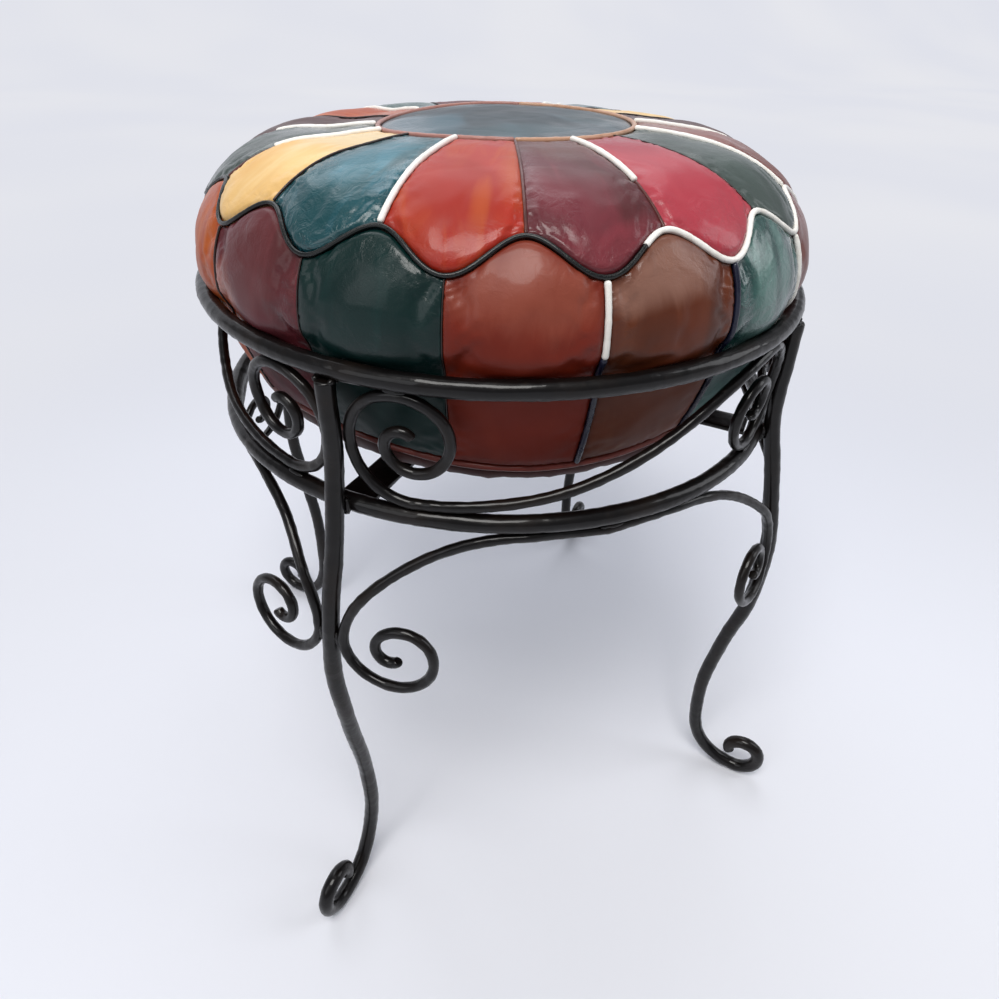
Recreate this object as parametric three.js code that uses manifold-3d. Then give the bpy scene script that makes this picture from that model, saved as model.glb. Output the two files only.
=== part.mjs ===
// Moroccan kursi stool: a wrought iron stand with four curled legs and scrollwork between its rings,
// and a loose round cushion of patchwork leather that sits in the upper ring.
// Millimetres, +Z up. The origin is on the floor, on the stool's upright axis.
// An azimuth is measured from -Y towards +X, so the front panel faces azimuth 0.
import * as THREE from 'three';
import { mergeVertices } from 'three/addons/utils/BufferGeometryUtils.js';
import Module from 'manifold-3d';

const wasm = await Module();
wasm.setup();

const DEGREE = Math.PI / 180;
const TURN = 2 * Math.PI;

// Bars and rods of the stand
const RING_BAR_RADIUS = 5;
const LEG_BAR_RADIUS = 5;
const SCROLL_ROD_RADIUS = 3;
const WELD_GAP = 0.3;

// Rings
const UPPER_RING_RADIUS = 182;
const UPPER_RING_HEIGHT = 395;
const RING_SPACING = 78;

// Legs: each leaves the upper ring straight down, bulges, draws in and sweeps out to a curled foot
const LEG_COUNT = 4;
const NECK_OFFSET = 2.8;
const NECK_DROP = 40;
const BELLY_BULGE = 20.2;
const BELLY_HEIGHT = 215;
const WAIST_DRAW = 18;
const WAIST_HEIGHT = 75;
const FOOT_REACH = 41.5;
const FOOT_CURL_RADIUS = 18;
const FOOT_CURL_PITCH = 12.8;
const FOOT_CURL_TURN = 290 * DEGREE;
const FOOT_SWEEP_SHARES = { down: 0.71, out: 0.31 };

// Scrolls between the rings, shaped like an S on its side
const UPPER_SCROLL_PITCH = 19.4;
const UPPER_SCROLL_EYE = 4.7;
const UPPER_SCROLL_HANDLE_SHARES = { low: 0.55, high: 0.27 };

// Scrolls under the lower ring, shaped like a C that opens downwards
const LOWER_SCROLL_DROP = 75;
const LOWER_SCROLL_RADIUS = 31;
const LOWER_SCROLL_PITCH = 20;
const LOWER_SCROLL_EYE = 4.5;
const LOWER_SCROLL_SQUASH_SHARE = 0.9;
const LOWER_SCROLL_RUN = 95;
const LOWER_SCROLL_LEAN = 42;
const LOWER_SCROLL_HANDLE_SHARES = { up: 0.52, across: 0.47 };

// Flat bars that cross under the cushion
const STRAP_WIDTH = 20;
const STRAP_THICKNESS = 3.5;
const STRAP_TOP_DROP = 76;

// Cushion
const PETAL_COUNT = 16;
const PETAL_SEAM_TURN = 6.3 * DEGREE;
const CROWN_HEIGHT = 84.4;
const CROWN_RIM_RADIUS = 75;
const CROWN_EXPONENT_SHARE = 2.3;
const WIDEST_OVERHANG = 5.7;
const WIDEST_HEIGHT = 16;
const BASE_TUCK = 16.7;
const BASE_DEPTH = 22.7;
const BASE_HEEL = 4.4;
const BASE_FLAT_SHARE = 0.73;
const BASE_HANDLE_SHARES = { down: 0.55, across: 0.55 };
const SCALLOP_HIGH_SHARE = 0.58;
const SCALLOP_LOW_SHARE = 0.742;
const PETAL_PUFF = 3;
const SIDE_PUFF = 3;
const LEATHER = 1.5;
const CORD_RADIUS = 1.5;
const RIM_CORD_RADIUS = 2;
const SEAM_GAP = 0.4;
const PADDING_GAP = 1.4;
const SEAT_GAP = 0.3;

// Zip in the cushion's base
const ZIP_LENGTH = 110;
const ZIP_END = 4;
const ZIP_STRAP_GAP = 1;
const ZIP_TAPE_WIDTH = 24;
const ZIP_TAPE_THICKNESS = 0.8;
const ZIP_CHAIN_WIDTH = 5;
const ZIP_CHAIN_THICKNESS = 1.5;
const ZIP_SLIDER_LENGTH = 12;
const ZIP_SLIDER_WALL = 1.2;
const ZIP_PULL_LENGTH = 24;
const ZIP_PULL_WIDTH = 6;

// Fineness of the surfaces
const BAR_SIDES = 8;
const ROD_SIDES = 6;
const CORD_SIDES = 5;
const RING_SEGMENTS = 48;
const STEPS_PER_TURN = 10;
const NECK_STEPS = 2;
const SHAFT_STEPS = 5;
const SWEEP_STEPS = 5;
const CURL_STEPS = 9;
const UPPER_RUN_STEPS = 9;
const LOWER_RUN_STEPS = 8;
const PANEL_COLUMNS = 4;
const PETAL_ROWS = 5;
const CROWN_ROWS = 8;
const BASE_ROWS = 5;
const CORD_STEPS = 4;
const LATHE_SEGMENTS_PER_PANEL = 2;

// Heights and radii that follow from the sizes above
const NECK_RADIUS = UPPER_RING_RADIUS + NECK_OFFSET;
const NECK_HEIGHT = UPPER_RING_HEIGHT - NECK_DROP;
const BELLY_RADIUS = NECK_RADIUS + BELLY_BULGE;
const WAIST_RADIUS = BELLY_RADIUS - WAIST_DRAW;
const LOWER_RING_HEIGHT = UPPER_RING_HEIGHT - RING_SPACING;
const LOWER_RING_RADIUS = legRadiusAt(LOWER_RING_HEIGHT) - LEG_BAR_RADIUS - RING_BAR_RADIUS - WELD_GAP;
const ROD_SEAT = RING_BAR_RADIUS + SCROLL_ROD_RADIUS + WELD_GAP;
const STRAP_TOP = UPPER_RING_HEIGHT - STRAP_TOP_DROP;
const STRAP_COUNT = Math.floor(LEG_COUNT / 2);
const RING_HOLE = (UPPER_RING_RADIUS - RING_BAR_RADIUS) * Math.cos(Math.PI / RING_SEGMENTS);
const CUSHION_WAIST = RING_HOLE - SEAM_GAP - CORD_RADIUS;
const WIDEST_RADIUS = CUSHION_WAIST + WIDEST_OVERHANG;
const BASE_RADIUS = CUSHION_WAIST - BASE_TUCK;
const BASE_UNDERSIDE = STRAP_TOP + SEAT_GAP;
const WELT_HEIGHT = BASE_UNDERSIDE + BASE_DEPTH;
const CROWN_TOP = UPPER_RING_HEIGHT + CROWN_HEIGHT;
const ZIP_TAPE_UNDERSIDE = BASE_UNDERSIDE - SEAT_GAP - ZIP_TAPE_THICKNESS;
const PITCH_ANGLE = TURN / PETAL_COUNT;
const LEG_ANGLE = TURN / LEG_COUNT;
const SCALLOP_SLOPE = scallopSlope();
const LOWER_PLACES = [1, 2, 2 + 1 / 3, 2 + 2 / 3, 3];

// Colours of the iron, leather and zip
const COLOURS = {
  iron: 0x17140f,
  filling: 0xd8cfbd,
  slate: 0x3c4f57,
  greygreen: 0x5c6662,
  cream: 0xe2bd7c,
  teal: 0x2c5a6a,
  orange: 0xb9402c,
  plum: 0x6b3540,
  crimson: 0xae3b46,
  pink: 0x7c5650,
  maroon: 0x5b3733,
  amber: 0xb4562a,
  bottle: 0x14383a,
  rust: 0x7c2a1e,
  brown: 0x5c3222,
  steel: 0x4a6666,
  cordDark: 0x241f1d,
  cordPale: 0xe9e3d8,
  cordTan: 0xb98f74,
  zinc: 0x9a9a96,
};
const PETAL_COLOURS = ['plum', 'crimson', 'greygreen', 'pink', 'maroon', 'cream', 'teal', 'orange',
  'plum', 'steel', 'amber', 'maroon', 'greygreen', 'cream', 'teal', 'orange'];
const SIDE_COLOURS = ['brown', 'steel', 'pink', 'amber', 'bottle', 'plum', 'rust', 'brown',
  'steel', 'maroon', 'bottle', 'rust', 'amber', 'plum', 'bottle', 'rust'];

const stool = new THREE.Group();

function material(colour, roughness, metalness) {
  return new THREE.MeshStandardMaterial({ color: COLOURS[colour], roughness, metalness });
}

function iron() {
  return material('iron', 0.4, 0.8);
}

function leather(colour) {
  return material(colour, 0.45, 0);
}

function addPiece(name, geometry, surface, parent = stool) {
  const piece = new THREE.Mesh(geometry, surface);
  piece.name = name;
  parent.add(piece);
  return piece;
}

// A point at an azimuth, a distance from the axis and a height
function around(azimuth, radius, height) {
  return new THREE.Vector3(radius * Math.sin(azimuth), -radius * Math.cos(azimuth), height);
}

function mix(from, to, share) {
  return from + (to - from) * share;
}

// Half a cosine wave from one value to the next, level at both ends
function ease(from, to, share) {
  return mix(from, to, (1 - Math.cos(Math.PI * share)) / 2);
}

function bezier(p0, p1, p2, p3, share) {
  return new THREE.CubicBezierCurve(p0, p1, p2, p3).getPoint(share);
}

// A curve that is swept from one of its points to the next, so close points make fine steps
class RodPath extends THREE.CatmullRomCurve3 {
  getPointAt(share, target) {
    return this.getPoint(share, target);
  }

  getTangentAt(share, target) {
    return this.getTangent(share, target);
  }
}

function barSection(radius, sides) {
  const corners = [];
  for (let corner = 0; corner < sides; corner += 1) {
    const angle = TURN * corner / sides;
    corners.push(new THREE.Vector2(radius * Math.cos(angle), radius * Math.sin(angle)));
  }
  return new THREE.Shape(corners);
}

// A round bar swept along points
function sweptBar(points, radius, sides) {
  return new THREE.ExtrudeGeometry(barSection(radius, sides), {
    extrudePath: new RodPath(points),
    steps: points.length - 1,
    bevelEnabled: false,
  });
}

// Legs

// Distance of a leg's centre line from the axis at a height above its foot
function legRadiusAt(height) {
  if (height >= NECK_HEIGHT) {
    return NECK_RADIUS;
  }
  if (height >= BELLY_HEIGHT) {
    return ease(NECK_RADIUS, BELLY_RADIUS, (NECK_HEIGHT - height) / (NECK_HEIGHT - BELLY_HEIGHT));
  }
  if (height >= WAIST_HEIGHT) {
    return ease(BELLY_RADIUS, WAIST_RADIUS, (BELLY_HEIGHT - height) / (BELLY_HEIGHT - WAIST_HEIGHT));
  }
  return WAIST_RADIUS;
}

// The leg's centre line in its own upright plane: x is the distance from the axis, y the height
function legLine() {
  const line = [];
  const top = UPPER_RING_HEIGHT - RING_BAR_RADIUS - WELD_GAP;
  const stretches = [[top, NECK_HEIGHT, NECK_STEPS], [NECK_HEIGHT, BELLY_HEIGHT, SHAFT_STEPS],
    [BELLY_HEIGHT, WAIST_HEIGHT, SHAFT_STEPS]];
  for (const [from, to, steps] of stretches) {
    for (let step = 0; step < steps; step += 1) {
      const height = mix(from, to, step / steps);
      line.push(new THREE.Vector2(legRadiusAt(height), height));
    }
  }
  const curlCentre = new THREE.Vector2(WAIST_RADIUS + FOOT_REACH, LEG_BAR_RADIUS + FOOT_CURL_RADIUS);
  const waist = new THREE.Vector2(WAIST_RADIUS, WAIST_HEIGHT);
  const down = new THREE.Vector2(WAIST_RADIUS, mix(WAIST_HEIGHT, LEG_BAR_RADIUS, FOOT_SWEEP_SHARES.down));
  const out = new THREE.Vector2(mix(WAIST_RADIUS, curlCentre.x, FOOT_SWEEP_SHARES.out), LEG_BAR_RADIUS);
  const floor = new THREE.Vector2(curlCentre.x, LEG_BAR_RADIUS);
  for (let step = 0; step < SWEEP_STEPS; step += 1) {
    line.push(bezier(waist, down, out, floor, step / SWEEP_STEPS));
  }
  for (let step = 0; step <= CURL_STEPS; step += 1) {
    const turned = FOOT_CURL_TURN * step / CURL_STEPS;
    const radius = FOOT_CURL_RADIUS - FOOT_CURL_PITCH * turned / TURN;
    const angle = turned - Math.PI / 2;
    line.push(new THREE.Vector2(Math.cos(angle), Math.sin(angle)).multiplyScalar(radius).add(curlCentre));
  }
  return line;
}

function addLegs() {
  const points = legLine().map((point) => around(0, point.x, point.y));
  for (let leg = 0; leg < LEG_COUNT; leg += 1) {
    const piece = addPiece(`leg_${leg + 1}`, sweptBar(points, LEG_BAR_RADIUS, BAR_SIDES), iron());
    piece.rotation.z = (leg - 1 / 2) * LEG_ANGLE;
  }
}

// Rings

function addRings() {
  const upper = new THREE.TorusGeometry(UPPER_RING_RADIUS, RING_BAR_RADIUS, BAR_SIDES, RING_SEGMENTS);
  addPiece('upper_ring', upper, iron()).position.z = UPPER_RING_HEIGHT;
  const lower = new THREE.TorusGeometry(LOWER_RING_RADIUS, RING_BAR_RADIUS, BAR_SIDES, RING_SEGMENTS);
  addPiece('lower_ring', lower, iron()).position.z = LOWER_RING_HEIGHT;
}

// Scrolls

// A spiral of evenly spaced turns that runs inwards to its eye.
// It starts at an angle from the sideways direction, and the spin is +1 for anticlockwise.
function spiral(centre, outerRadius, pitch, eye, startAngle, spin, squash) {
  const turns = (outerRadius - eye) / pitch;
  const steps = Math.round(turns * STEPS_PER_TURN);
  const points = [];
  for (let step = 0; step <= steps; step += 1) {
    const turned = turns * step / steps;
    const radius = outerRadius - pitch * turned;
    const angle = startAngle + spin * TURN * turned;
    const x = centre.x + radius * Math.cos(angle);
    const y = centre.y + radius * Math.sin(angle) * squash;
    points.push(new THREE.Vector2(x, y));
  }
  return points;
}

// Points of a Bezier stretch between two pieces of an outline, without its two ends
function between(from, fromHandle, toHandle, to, steps) {
  const points = [];
  for (let step = 1; step < steps; step += 1) {
    points.push(bezier(from, fromHandle, toHandle, to, step / steps));
  }
  return points;
}

// The S scroll unrolled flat: x runs along the ring from the panel's middle, y is the height
function upperScrollLine() {
  const top = UPPER_RING_HEIGHT - ROD_SEAT;
  const bottom = LOWER_RING_HEIGHT + ROD_SEAT;
  const outer = (top - bottom + UPPER_SCROLL_PITCH / 2) / 2;
  const sideRadius = outer - UPPER_SCROLL_PITCH / 4;
  const middle = (UPPER_RING_RADIUS + LOWER_RING_RADIUS) / 2;
  const touch = LEG_BAR_RADIUS + SCROLL_ROD_RADIUS + WELD_GAP;
  const inset = Math.sqrt(Math.max(touch ** 2 - (NECK_RADIUS - middle) ** 2, 0));
  const centreX = middle * LEG_ANGLE / 2 - inset - sideRadius;
  const low = new THREE.Vector2(-centreX, bottom + outer);
  const high = new THREE.Vector2(centreX, top - outer);
  const start = new THREE.Vector2(-centreX, bottom);
  const end = new THREE.Vector2(centreX, top);
  const length = end.x - start.x;
  const startHandle = new THREE.Vector2(start.x + length * UPPER_SCROLL_HANDLE_SHARES.low, bottom);
  const endHandle = new THREE.Vector2(end.x - length * UPPER_SCROLL_HANDLE_SHARES.high, top);
  const lowSpiral = spiral(low, outer, UPPER_SCROLL_PITCH, UPPER_SCROLL_EYE, -Math.PI / 2, -1, 1);
  const highSpiral = spiral(high, outer, UPPER_SCROLL_PITCH, UPPER_SCROLL_EYE, Math.PI / 2, -1, 1);
  const run = between(start, startHandle, endHandle, end, UPPER_RUN_STEPS);
  return [...lowSpiral.reverse(), ...run, ...highSpiral];
}

// Rolls a flat S scroll onto the cone between the two rings, mirrored or not
function upperScrollPoints(mirrored) {
  const side = mirrored ? -1 : 1;
  return upperScrollLine().map((point) => {
    const radius = mix(LOWER_RING_RADIUS, UPPER_RING_RADIUS, upperScrollShare(point.y));
    const middle = (UPPER_RING_RADIUS + LOWER_RING_RADIUS) / 2;
    return around(side * point.x / middle, radius, point.y);
  });
}

function upperScrollShare(height) {
  const top = UPPER_RING_HEIGHT - ROD_SEAT;
  const bottom = LOWER_RING_HEIGHT + ROD_SEAT;
  return (height - bottom) / (top - bottom);
}

function addUpperScrolls() {
  for (let panel = 0; panel < LEG_COUNT; panel += 1) {
    const points = upperScrollPoints(panel % 2 === 1);
    const piece = addPiece(`upper_scroll_${panel + 1}`, sweptBar(points, SCROLL_ROD_RADIUS, ROD_SIDES), iron());
    piece.rotation.z = panel * LEG_ANGLE;
  }
}

// The left half of the C scroll unrolled flat: x runs from the leg's axis, y is the height
function lowerScrollLine() {
  const top = LOWER_RING_HEIGHT - ROD_SEAT;
  const touch = LEG_BAR_RADIUS + SCROLL_ROD_RADIUS + WELD_GAP;
  const centre = new THREE.Vector2(touch + LOWER_SCROLL_RADIUS, LOWER_RING_HEIGHT - LOWER_SCROLL_DROP);
  const start = new THREE.Vector2(touch, centre.y);
  const startHandle = new THREE.Vector2(touch, mix(start.y, top, LOWER_SCROLL_HANDLE_SHARES.up));
  const end = new THREE.Vector2(LOWER_SCROLL_RUN, top);
  const endHandle = new THREE.Vector2(mix(end.x, start.x, LOWER_SCROLL_HANDLE_SHARES.across), top);
  const curl = spiral(centre, LOWER_SCROLL_RADIUS, LOWER_SCROLL_PITCH, LOWER_SCROLL_EYE, Math.PI, 1,
    LOWER_SCROLL_SQUASH_SHARE);
  return [...curl.reverse(), ...between(start, startHandle, endHandle, end, LOWER_RUN_STEPS), end];
}

// Distance from the axis of the C scroll's rod: under the ring at the top, in line with the legs lower down
function lowerScrollRadius(height) {
  const top = LOWER_RING_HEIGHT - ROD_SEAT;
  const share = Math.min((top - height) / LOWER_SCROLL_LEAN, 1);
  return legRadiusAt(height) - ease(legRadiusAt(top) - LOWER_RING_RADIUS, 0, share);
}

function lowerScrollPoints() {
  const left = lowerScrollLine().map((point) => {
    const radius = lowerScrollRadius(point.y);
    return around(point.x / radius - LEG_ANGLE / 2, radius, point.y);
  });
  const right = left.map((point) => new THREE.Vector3(-point.x, point.y, point.z));
  const middle = around(0, LOWER_RING_RADIUS, LOWER_RING_HEIGHT - ROD_SEAT);
  return [...left, middle, ...right.reverse()];
}

function addLowerScrolls() {
  for (let panel = 0; panel < LEG_COUNT; panel += 1) {
    const geometry = sweptBar(lowerScrollPoints(), SCROLL_ROD_RADIUS, ROD_SIDES);
    addPiece(`lower_scroll_${panel + 1}`, geometry, iron()).rotation.z = panel * LEG_ANGLE;
  }
}

// Straps: each runs between two opposite legs, and the first lies on top of the second

// Length of a strap whose corners stop just short of the lower ring's bar at the strap's height
function strapLength(height) {
  const rise = Math.min(Math.abs(height - LOWER_RING_HEIGHT), RING_BAR_RADIUS);
  const bar = Math.sqrt(RING_BAR_RADIUS ** 2 - rise ** 2);
  const hole = (LOWER_RING_RADIUS - bar) * Math.cos(Math.PI / RING_SEGMENTS) - WELD_GAP;
  return 2 * Math.sqrt(hole ** 2 - (STRAP_WIDTH / 2) ** 2);
}

function addStraps() {
  for (let layer = 0; layer < STRAP_COUNT; layer += 1) {
    const top = STRAP_TOP - layer * (STRAP_THICKNESS + WELD_GAP);
    const nearest = Math.max(Math.min(LOWER_RING_HEIGHT, top), top - STRAP_THICKNESS);
    const geometry = new THREE.BoxGeometry(strapLength(nearest), STRAP_WIDTH, STRAP_THICKNESS);
    const strap = addPiece(`strap_${layer + 1}`, geometry, iron());
    strap.position.z = top - STRAP_THICKNESS / 2;
    strap.rotation.z = (layer - 1 / 2) * LEG_ANGLE;
  }
}

// Cushion surface

// The leather's outline at a seam, from the crown's rim (0) over the widest place (1) and the
// ring (2) to the welt (3): x is the distance from the axis, y the height
function cushionOutline(place) {
  if (place <= 1) {
    const angle = place * Math.PI / 2;
    const power = 2 / CROWN_EXPONENT_SHARE;
    const widest = UPPER_RING_HEIGHT + WIDEST_HEIGHT;
    const radius = mix(CROWN_RIM_RADIUS, WIDEST_RADIUS, Math.sin(angle) ** power);
    return new THREE.Vector2(radius, mix(widest, CROWN_TOP, Math.max(Math.cos(angle), 0) ** power));
  }
  if (place <= 2) {
    const share = place - 1;
    const height = UPPER_RING_HEIGHT + WIDEST_HEIGHT * (1 - share);
    return new THREE.Vector2(ease(WIDEST_RADIUS, CUSHION_WAIST, share), height);
  }
  const waist = new THREE.Vector2(CUSHION_WAIST, UPPER_RING_HEIGHT);
  const heel = new THREE.Vector2(BASE_RADIUS + BASE_HEEL / 2, WELT_HEIGHT + BASE_HEEL / 2);
  const drop = waist.y - heel.y;
  const waistHandle = new THREE.Vector2(waist.x, waist.y - drop / 4);
  const heelHandle = new THREE.Vector2(mix(heel.x, waist.x, 1 / 2), heel.y + drop / 3);
  return bezier(waist, waistHandle, heelHandle, heel, place - 2);
}

// The base leather's outline, which bulges down from under the welt (0) to where it lies flat (1)
function baseOutline(share) {
  const rim = new THREE.Vector2(BASE_RADIUS, WELT_HEIGHT - RIM_CORD_RADIUS - 2 * SEAM_GAP);
  const flat = new THREE.Vector2(BASE_RADIUS * BASE_FLAT_SHARE, BASE_UNDERSIDE);
  const rimHandle = new THREE.Vector2(rim.x - LEATHER, mix(rim.y, flat.y, BASE_HANDLE_SHARES.down));
  const flatHandle = new THREE.Vector2(mix(flat.x, rim.x, BASE_HANDLE_SHARES.across), flat.y);
  return bezier(rim, rimHandle, flatHandle, flat, share);
}

// An outline moved out along its own normal
function raised(outline, last, place, rise) {
  const nudge = 1 / 1000;
  const before = outline(Math.max(place - nudge, 0));
  const after = outline(Math.min(place + nudge, last));
  const along = after.sub(before).normalize();
  return outline(place).add(new THREE.Vector2(-along.y, along.x).multiplyScalar(rise));
}

function raisedOutline(place, rise) {
  return raised(cushionOutline, 3, place, rise);
}

// The base's outline moved out, row by row from under the welt to the flat
function raisedBase(rise) {
  const points = [];
  for (let row = 0; row <= BASE_ROWS; row += 1) {
    points.push(raised(baseOutline, 1, row / BASE_ROWS, rise));
  }
  return points;
}

// Place on the outline of the scallop at an azimuth: high at a petal seam, low in a petal's middle
function scallopPlace(azimuth) {
  const wave = (1 - Math.cos((azimuth - PETAL_SEAM_TURN) * PETAL_COUNT)) / 2;
  return mix(SCALLOP_HIGH_SHARE, SCALLOP_LOW_SHARE, wave);
}

// The place on the crown that lies a given distance further down than another place
function placeFurther(place, distance) {
  const nudge = 1 / 100;
  const speed = cushionOutline(place + nudge).distanceTo(cushionOutline(place)) / nudge;
  return place + distance / speed;
}

// A closed shell from two grids of points, outer and inner, each listed row by row
function shell(outer, inner, columns, rows) {
  const wide = columns + 1;
  const layer = wide * (rows + 1);
  const positions = [...outer, ...inner].flatMap((point) => point.toArray());
  const index = [];
  const quad = (a, b, c, d) => index.push(a, b, c, a, c, d);
  for (let row = 0; row < rows; row += 1) {
    for (let column = 0; column < columns; column += 1) {
      const at = row * wide + column;
      quad(at, at + wide, at + wide + 1, at + 1);
      quad(layer + at, layer + at + 1, layer + at + wide + 1, layer + at + wide);
    }
    const left = row * wide;
    const right = left + columns;
    quad(left, layer + left, layer + left + wide, left + wide);
    quad(right, right + wide, layer + right + wide, layer + right);
  }
  for (let column = 0; column < columns; column += 1) {
    const foot = rows * wide + column;
    quad(column, column + 1, layer + column + 1, layer + column);
    quad(foot, layer + foot, layer + foot + 1, foot + 1);
  }
  const geometry = new THREE.BufferGeometry();
  geometry.setAttribute('position', new THREE.Float32BufferAttribute(positions, 3));
  geometry.setIndex(index);
  return geometry;
}

// One leather panel between two seams. The places give its rows at an azimuth, and the puff
// says how far its outer face stands out half way between two places and two seams. The padding
// behind it takes half of the puff and the filling's rounding the rest
function leatherPanel(middle, placesAt, puff) {
  const columns = PANEL_COLUMNS;
  const outer = [];
  const inner = [];
  const rows = placesAt(middle).length - 1;
  const edge = CORD_RADIUS + SEAM_GAP;
  for (let row = 0; row <= rows; row += 1) {
    for (let column = 0; column <= columns; column += 1) {
      const share = column / columns;
      const across = middle + (share - 1 / 2) * PITCH_ANGLE;
      const place = placesAt(across)[row];
      const radius = cushionOutline(place).x;
      const azimuth = middle + (share - 1 / 2) * (PITCH_ANGLE - 2 * edge / radius);
      const swell = Math.sin(Math.PI * (place - puff.from) / (puff.to - puff.from));
      const rise = place < puff.to ? puff.height * swell * Math.sin(Math.PI * share) : 0;
      const face = raisedOutline(place, rise);
      const back = raisedOutline(place, rise / 2 - LEATHER);
      outer.push(around(azimuth, face.x, face.y));
      inner.push(around(azimuth, back.x, back.y));
    }
  }
  return shell(outer, inner, columns, rows);
}

// The place on the crown where the leather starts, just outside the rim cord
function crownStart() {
  const gapShare = (RIM_CORD_RADIUS + SEAM_GAP) / (WIDEST_RADIUS - CROWN_RIM_RADIUS);
  return Math.asin(gapShare ** (CROWN_EXPONENT_SHARE / 2)) / (Math.PI / 2);
}

function petalPlaces(azimuth) {
  const edge = CORD_RADIUS + SEAM_GAP;
  const start = crownStart();
  const end = placeFurther(scallopPlace(azimuth), -edge * SCALLOP_SLOPE);
  const places = [];
  for (let row = 0; row <= PETAL_ROWS; row += 1) {
    places.push(mix(start, end, row / PETAL_ROWS));
  }
  return places;
}

function sidePlaces(azimuth) {
  const edge = CORD_RADIUS + SEAM_GAP;
  const start = placeFurther(scallopPlace(azimuth), edge * SCALLOP_SLOPE);
  return [start, mix(start, 1, 1 / 2), ...LOWER_PLACES];
}

// How much longer the way down a panel is than the way square to the slanting scallop
function scallopSlope() {
  const low = cushionOutline(SCALLOP_LOW_SHARE);
  const drop = low.distanceTo(cushionOutline(SCALLOP_HIGH_SHARE));
  const steepest = (Math.PI / 2) * drop / (low.x * PITCH_ANGLE / 2);
  return Math.hypot(1, steepest);
}

function addPetals(cushion) {
  for (let petal = 0; petal < PETAL_COUNT; petal += 1) {
    const middle = PETAL_SEAM_TURN + (petal - 1 / 2) * PITCH_ANGLE;
    const puff = { height: PETAL_PUFF, from: crownStart(), to: SCALLOP_LOW_SHARE };
    const geometry = leatherPanel(middle, petalPlaces, puff);
    const name = `petal_${String(petal + 1).padStart(2, '0')}`;
    addPiece(name, geometry, leather(PETAL_COLOURS[petal % PETAL_COLOURS.length]), cushion);
  }
}

function addSidePanels(cushion) {
  for (let side = 0; side < PETAL_COUNT; side += 1) {
    const middle = PETAL_SEAM_TURN + side * PITCH_ANGLE;
    const puff = { height: SIDE_PUFF, from: SCALLOP_HIGH_SHARE, to: 2 };
    const geometry = leatherPanel(middle, sidePlaces, puff);
    const name = `side_panel_${String(side + 1).padStart(2, '0')}`;
    addPiece(name, geometry, leather(SIDE_COLOURS[side % SIDE_COLOURS.length]), cushion);
  }
}

function addTopDisc(cushion) {
  const radius = CROWN_RIM_RADIUS - RIM_CORD_RADIUS - SEAM_GAP;
  const profile = [
    new THREE.Vector2(0, CROWN_TOP - LEATHER),
    new THREE.Vector2(radius, CROWN_TOP - LEATHER),
    new THREE.Vector2(radius, CROWN_TOP - LEATHER / 2),
    new THREE.Vector2(radius - LEATHER / 2, CROWN_TOP),
    new THREE.Vector2(0, CROWN_TOP),
  ];
  addPiece('top_disc', turned(profile, PETAL_COUNT * LATHE_SEGMENTS_PER_PANEL), leather('slate'), cushion);
}

// A profile of distance and height turned about the upright axis
function turned(profile, segments) {
  const geometry = new THREE.LatheGeometry(profile, segments);
  geometry.rotateX(Math.PI / 2);
  return geometry;
}

function addBase(cushion) {
  const profile = [
    new THREE.Vector2(0, BASE_UNDERSIDE),
    ...raisedBase(0).reverse(),
    ...raisedBase(-LEATHER),
    new THREE.Vector2(0, BASE_UNDERSIDE + LEATHER),
  ];
  addPiece('base_leather', turned(profile, PETAL_COUNT * LATHE_SEGMENTS_PER_PANEL), leather('maroon'), cushion);
}

// The packed body inside the leather. It tapers straight past the welt, so it has no groove there
function addFilling(cushion) {
  const depth = LEATHER + PADDING_GAP;
  const outline = [];
  for (let row = 0; row <= CROWN_ROWS; row += 1) {
    outline.push(raisedOutline(row / CROWN_ROWS, -depth));
  }
  for (const place of LOWER_PLACES.slice(1, -2)) {
    outline.push(raisedOutline(place, -depth));
  }
  outline.push(new THREE.Vector2(BASE_RADIUS - RIM_CORD_RADIUS - depth, WELT_HEIGHT));
  outline.push(...raisedBase(-depth).slice(Math.ceil(BASE_ROWS / 2)));
  outline.reverse();
  const floor = new THREE.Vector2(0, BASE_UNDERSIDE + depth);
  const profile = [floor, ...outline, new THREE.Vector2(0, CROWN_TOP - depth)];
  const geometry = turned(profile, PETAL_COUNT * LATHE_SEGMENTS_PER_PANEL);
  geometry.rotateZ(PETAL_SEAM_TURN);
  addPiece('filling', geometry, material('filling', 0.9, 0), cushion);
}

// Piping cords

// A closed mesh as a solid that can be joined to others
function toSolid(geometry) {
  const bare = geometry.clone();
  bare.deleteAttribute('normal');
  bare.deleteAttribute('uv');
  const merged = mergeVertices(bare);
  const vertProperties = new Float32Array(merged.getAttribute('position').array);
  const triVerts = new Uint32Array(merged.getIndex().array);
  return new wasm.Manifold(new wasm.Mesh({ numProp: 3, vertProperties, triVerts }));
}

function fromSolid(solid) {
  const mesh = solid.getMesh();
  const geometry = new THREE.BufferGeometry();
  geometry.setAttribute('position', new THREE.BufferAttribute(mesh.vertProperties, mesh.numProp));
  geometry.setIndex(new THREE.BufferAttribute(mesh.triVerts, 1));
  return geometry;
}

// A cord along one seam of the outline, through a list of places on it
function seamCord(azimuth, places) {
  const points = places.map((place) => around(0, cushionOutline(place).x, cushionOutline(place).y));
  return sweptBar(points, CORD_RADIUS, CORD_SIDES).rotateZ(azimuth);
}

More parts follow.
